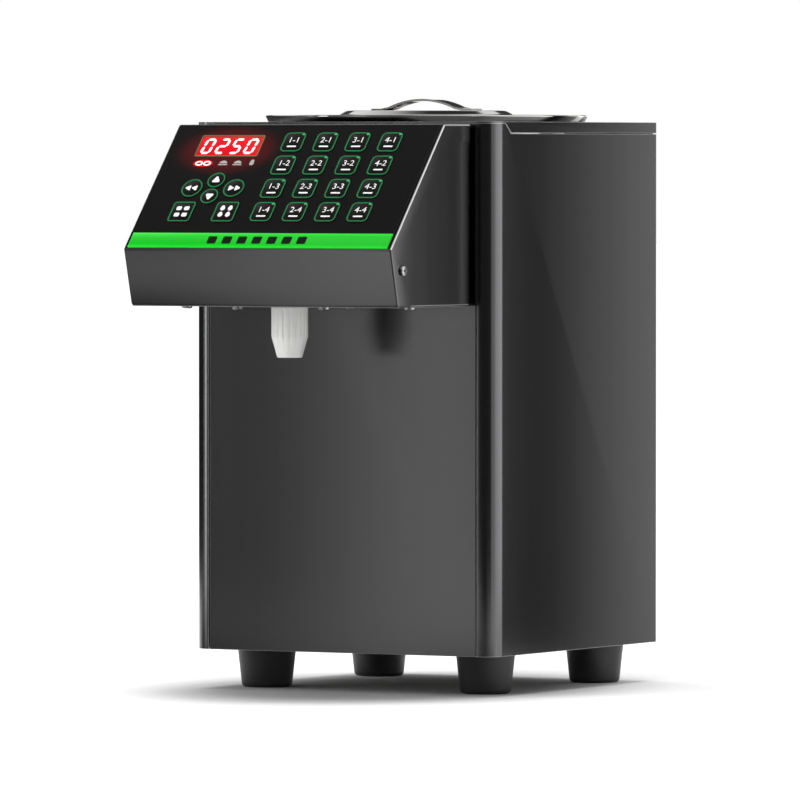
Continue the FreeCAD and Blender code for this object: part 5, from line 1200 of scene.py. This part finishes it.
def make_floor():
    floor_mesh = bpy.data.meshes.new("studio_floor")
    floor_mesh.from_pydata([(-FLOOR_HALF, -FLOOR_HALF, 0), (FLOOR_HALF, -FLOOR_HALF, 0),
                            (FLOOR_HALF, FLOOR_HALF, 0), (-FLOOR_HALF, FLOOR_HALF, 0)],
                           [], [(0, 1, 2, 3)])
    floor = new_object("studio_floor", floor_mesh)
    material, tree, shader = new_finish("studio_floor", 1.0)
    place = add(tree, "ShaderNodeTexCoord").outputs["Object"]
    # The glow starts beyond an oval round the machine, so that the shadow stays under it.
    squeezed = add(tree, "ShaderNodeVectorMath", {"operation": "DIVIDE"}, {
        0: place, 1: FLOOR_OVAL})
    away = add(tree, "ShaderNodeVectorMath", {"operation": "LENGTH"}, {
        0: squeezed.outputs["Vector"]})
    near = add(tree, "ShaderNodeMapRange", {"interpolation_type": "SMOOTHSTEP"}, {
        "Value": away.outputs["Value"], "From Min": NEAR_SHARES[0], "From Max": NEAR_SHARES[1],
        "To Min": 0.0, "To Max": NEAR_GLOW})
    # The floor's own colour is darkened under the machine, to deepen the shadow there.
    shade = add(tree, "ShaderNodeMapRange", {"interpolation_type": "SMOOTHSTEP"}, {
        "Value": away.outputs["Value"], "From Min": DARK_SHARES[0], "From Max": DARK_SHARES[1],
        "To Min": DARK_LEVEL, "To Max": 1.0})
    tint = add(tree, "ShaderNodeHueSaturation", {}, {
        "Color": linear("#FCFCFC"), "Value": shade.outputs["Result"]})
    far = add(tree, "ShaderNodeMapRange", {}, {
        "Value": away.outputs["Value"], "From Min": FAR_SHARES[0], "From Max": FAR_SHARES[1],
        "To Min": 0.0, "To Max": FAR_GLOW})
    both = add(tree, "ShaderNodeMath", {"operation": "ADD"}, {
        0: near.outputs["Result"], 1: far.outputs["Result"]})
    glow = add(tree, "ShaderNodeMath", {"operation": "MULTIPLY"}, {
        0: seen_directly(tree), 1: both.outputs["Value"]})
    tree.links.new(glow.outputs["Value"], shader.inputs["Emission Strength"])
    shader.inputs["Emission Color"].default_value = (1, 1, 1, 1)
    tree.links.new(tint.outputs["Color"], shader.inputs["Base Color"])
    shader.inputs["Specular IOR Level"].default_value = 0.0
    floor_mesh.materials.append(material)


def make_world():
    world = bpy.data.worlds.new("studio")
    world.use_nodes = True
    bpy.context.scene.world = world
    tree = world.node_tree
    background = tree.nodes["Background"]
    strength = add(tree, "ShaderNodeMapRange", {}, {
        "Value": seen_directly(tree), "To Min": SKY_LEVEL, "To Max": 1.0})
    tree.links.new(strength.outputs["Result"], background.inputs["Strength"])
    background.inputs["Color"].default_value = (1, 1, 1, 1)


def add_softbox(name, place, aim, width, height, power):
    lamp = bpy.data.lights.new(name, "AREA")
    lamp.shape = "RECTANGLE"
    lamp.size = width
    lamp.size_y = height
    lamp.energy = power
    softbox = new_object(name, lamp)
    softbox.location = place
    softbox.rotation_euler = (Vector(aim) - Vector(place)).to_track_quat("-Z", "Y").to_euler()
    softbox.visible_camera = False
    softbox.visible_glossy = False


def add_card(name, corner, along, across, levels):
    """A card seen only in reflections. Its light changes along it, as (share, level) pairs."""
    corner, along, across = Vector(corner), Vector(along), Vector(across)
    points = []
    for share, level in levels:
        points += [corner + along * share, corner + along * share + across]
    strips = [(2 * place, 2 * place + 2, 2 * place + 3, 2 * place + 1)
              for place in range(len(levels) - 1)]
    card_mesh = bpy.data.meshes.new(name)
    card_mesh.from_pydata(points, [], strips)
    light = card_mesh.attributes.new("light", "FLOAT", "POINT")
    for place, (share, level) in enumerate(levels):
        light.data[2 * place].value = level
        light.data[2 * place + 1].value = level
    card = new_object(name, card_mesh)
    material, tree, shader = new_finish(name, 1.0)
    given = add(tree, "ShaderNodeAttribute", {"attribute_name": "light"})
    tree.links.new(given.outputs["Fac"], shader.inputs["Emission Strength"])
    shader.inputs["Base Color"].default_value = (0, 0, 0, 1)
    shader.inputs["Specular IOR Level"].default_value = 0.0
    shader.inputs["Emission Color"].default_value = (1, 1, 1, 1)
    card_mesh.materials.append(material)
    for seen_by in ("visible_camera", "visible_diffuse", "visible_transmission",
                    "visible_shadow", "visible_volume_scatter"):
        setattr(card, seen_by, False)


make_floor()
make_world()
add_softbox("top_softbox", (0, 0, 2.0), (0, 0, 0.3), 1.4, 1.4, 26)
add_softbox("front_softbox", (-1.5, -1.6, 1.1), (0, 0, 0.25), 1.0, 1.4, 17)
# The front panel mirrors these: dark on the left, clear on the right. The strong light far left
# draws a line down the left-hand bend.
FRONT_LIGHTS = ((0.0, 0.05), (0.20, 0.05), (0.233, 4.5), (0.43, 4.5), (0.48, 0.12), (0.69, 0.12),
                (0.90, 1.0), (1.0, 0.9))
add_card("front_card", (-1.4, -0.85, 0.004), (1.2, 0, 0), (0, 0, 0.8), FRONT_LIGHTS)
FLOOR_LIGHTS = ((0.0, 0.1), (0.70, 0.15), (0.78, 0.4), (0.93, 0.85), (1.0, 0.95))
add_card("front_floor_card", (-0.92, -0.10, 0.004), (1.1, 0, 0), (-0.28, -0.50, 0), FLOOR_LIGHTS)
# The head's lower face mirrors this one on the floor.
add_card("chin_card", (-0.75, -0.60, 0.004), (0.75, 0, 0), (-0.12, -0.25, 0),
         ((0.0, 0.6), (0.45, 0.62), (0.85, 1.0), (1.0, 1.0)))
add_card("left_card", (-1.2, -0.6, 0.02), (0, 1.9, 0), (0, 0, 0.8), ((0.0, 0.05), (1.0, 0.05)))
# The first half of the right-hand bend mirrors these two.
add_card("camera_card", (-0.424, -1.176, 0.02), (1.224, 0.756, 0), (0, 0, 0.7),
         ((0.0, 0.5), (0.1, 0.35), (0.2, 0.1), (0.25, 0.07), (0.92, 0.07), (1.0, 0.3)))
add_card("camera_floor_card", (-0.1, -0.85, 0.004), (0.6, 0, 0), (0, 0.75, 0),
         ((0.0, 0.5), (0.1, 0.08), (0.9, 0.08), (1.0, 0.3)))
# The second half mirrors this bright one.
add_card("bright_card", (0.95, -0.37, 0.02), (0, 1.6, 0), (0, 0, 1.6),
         ((0.0, 0.5), (0.25, 1.9), (1.0, 2.6)))
# The right side and the head's cheek mirror this one: clear at the back, dark to the front.
add_card("side_card", (0.16, 0.33, 0.0), (0.28, 0, 0), (0, 0, 0.7),
         ((0.0, 0.72), (0.143, 0.6), (0.5, 0.05), (0.71, 0.02), (0.85, 0.05), (1.0, 0.15)))
# The bend at the back of the right side mirrors this strip.
add_card("rear_card", (0.05, 1.5, 0.0), (0.5, 0, 0), (0, 0, 1.2), ((0.0, 2.5), (1.0, 2.5)))
# The keypad mirrors this one overhead, and the sides of the lid the next one.
add_card("head_top_card", (-1.7, -1.3, 1.3), (0, 1.5, 0), (2.0, 0, 0),
         ((0.0, 0.0), (0.60, 0.0), (0.76, 0.15), (1.0, 0.15)))
add_card("lid_top_card", (-1.7, 0.2, 1.3), (2.9, 0, 0), (0, 1.0, 0),
         ((0.0, 1.0), (0.26, 0.95), (0.39, 0.65), (0.44, 0.22), (0.475, 0.04), (1.0, 0.04)))
# The handle's flanks mirror this one, high at the back.
add_card("back_card", (-1.8, 1.6, 0.66), (2.3, 0, 0), (0, 0, 0.5), ((0.0, 0.05), (1.0, 0.05)))

lens = bpy.data.cameras.new("photo_camera")
lens.lens = 425.1
lens.sensor_width = 36.0
lens.clip_end = 40.0
camera = new_object("photo_camera", lens)
camera.location = (3.359, -5.9847, 0.3898)
camera.rotation_euler = (math.radians(88.5), 0.0, math.radians(29.22))
bpy.context.scene.camera = camera
bpy.context.scene.view_settings.view_transform = "Standard"
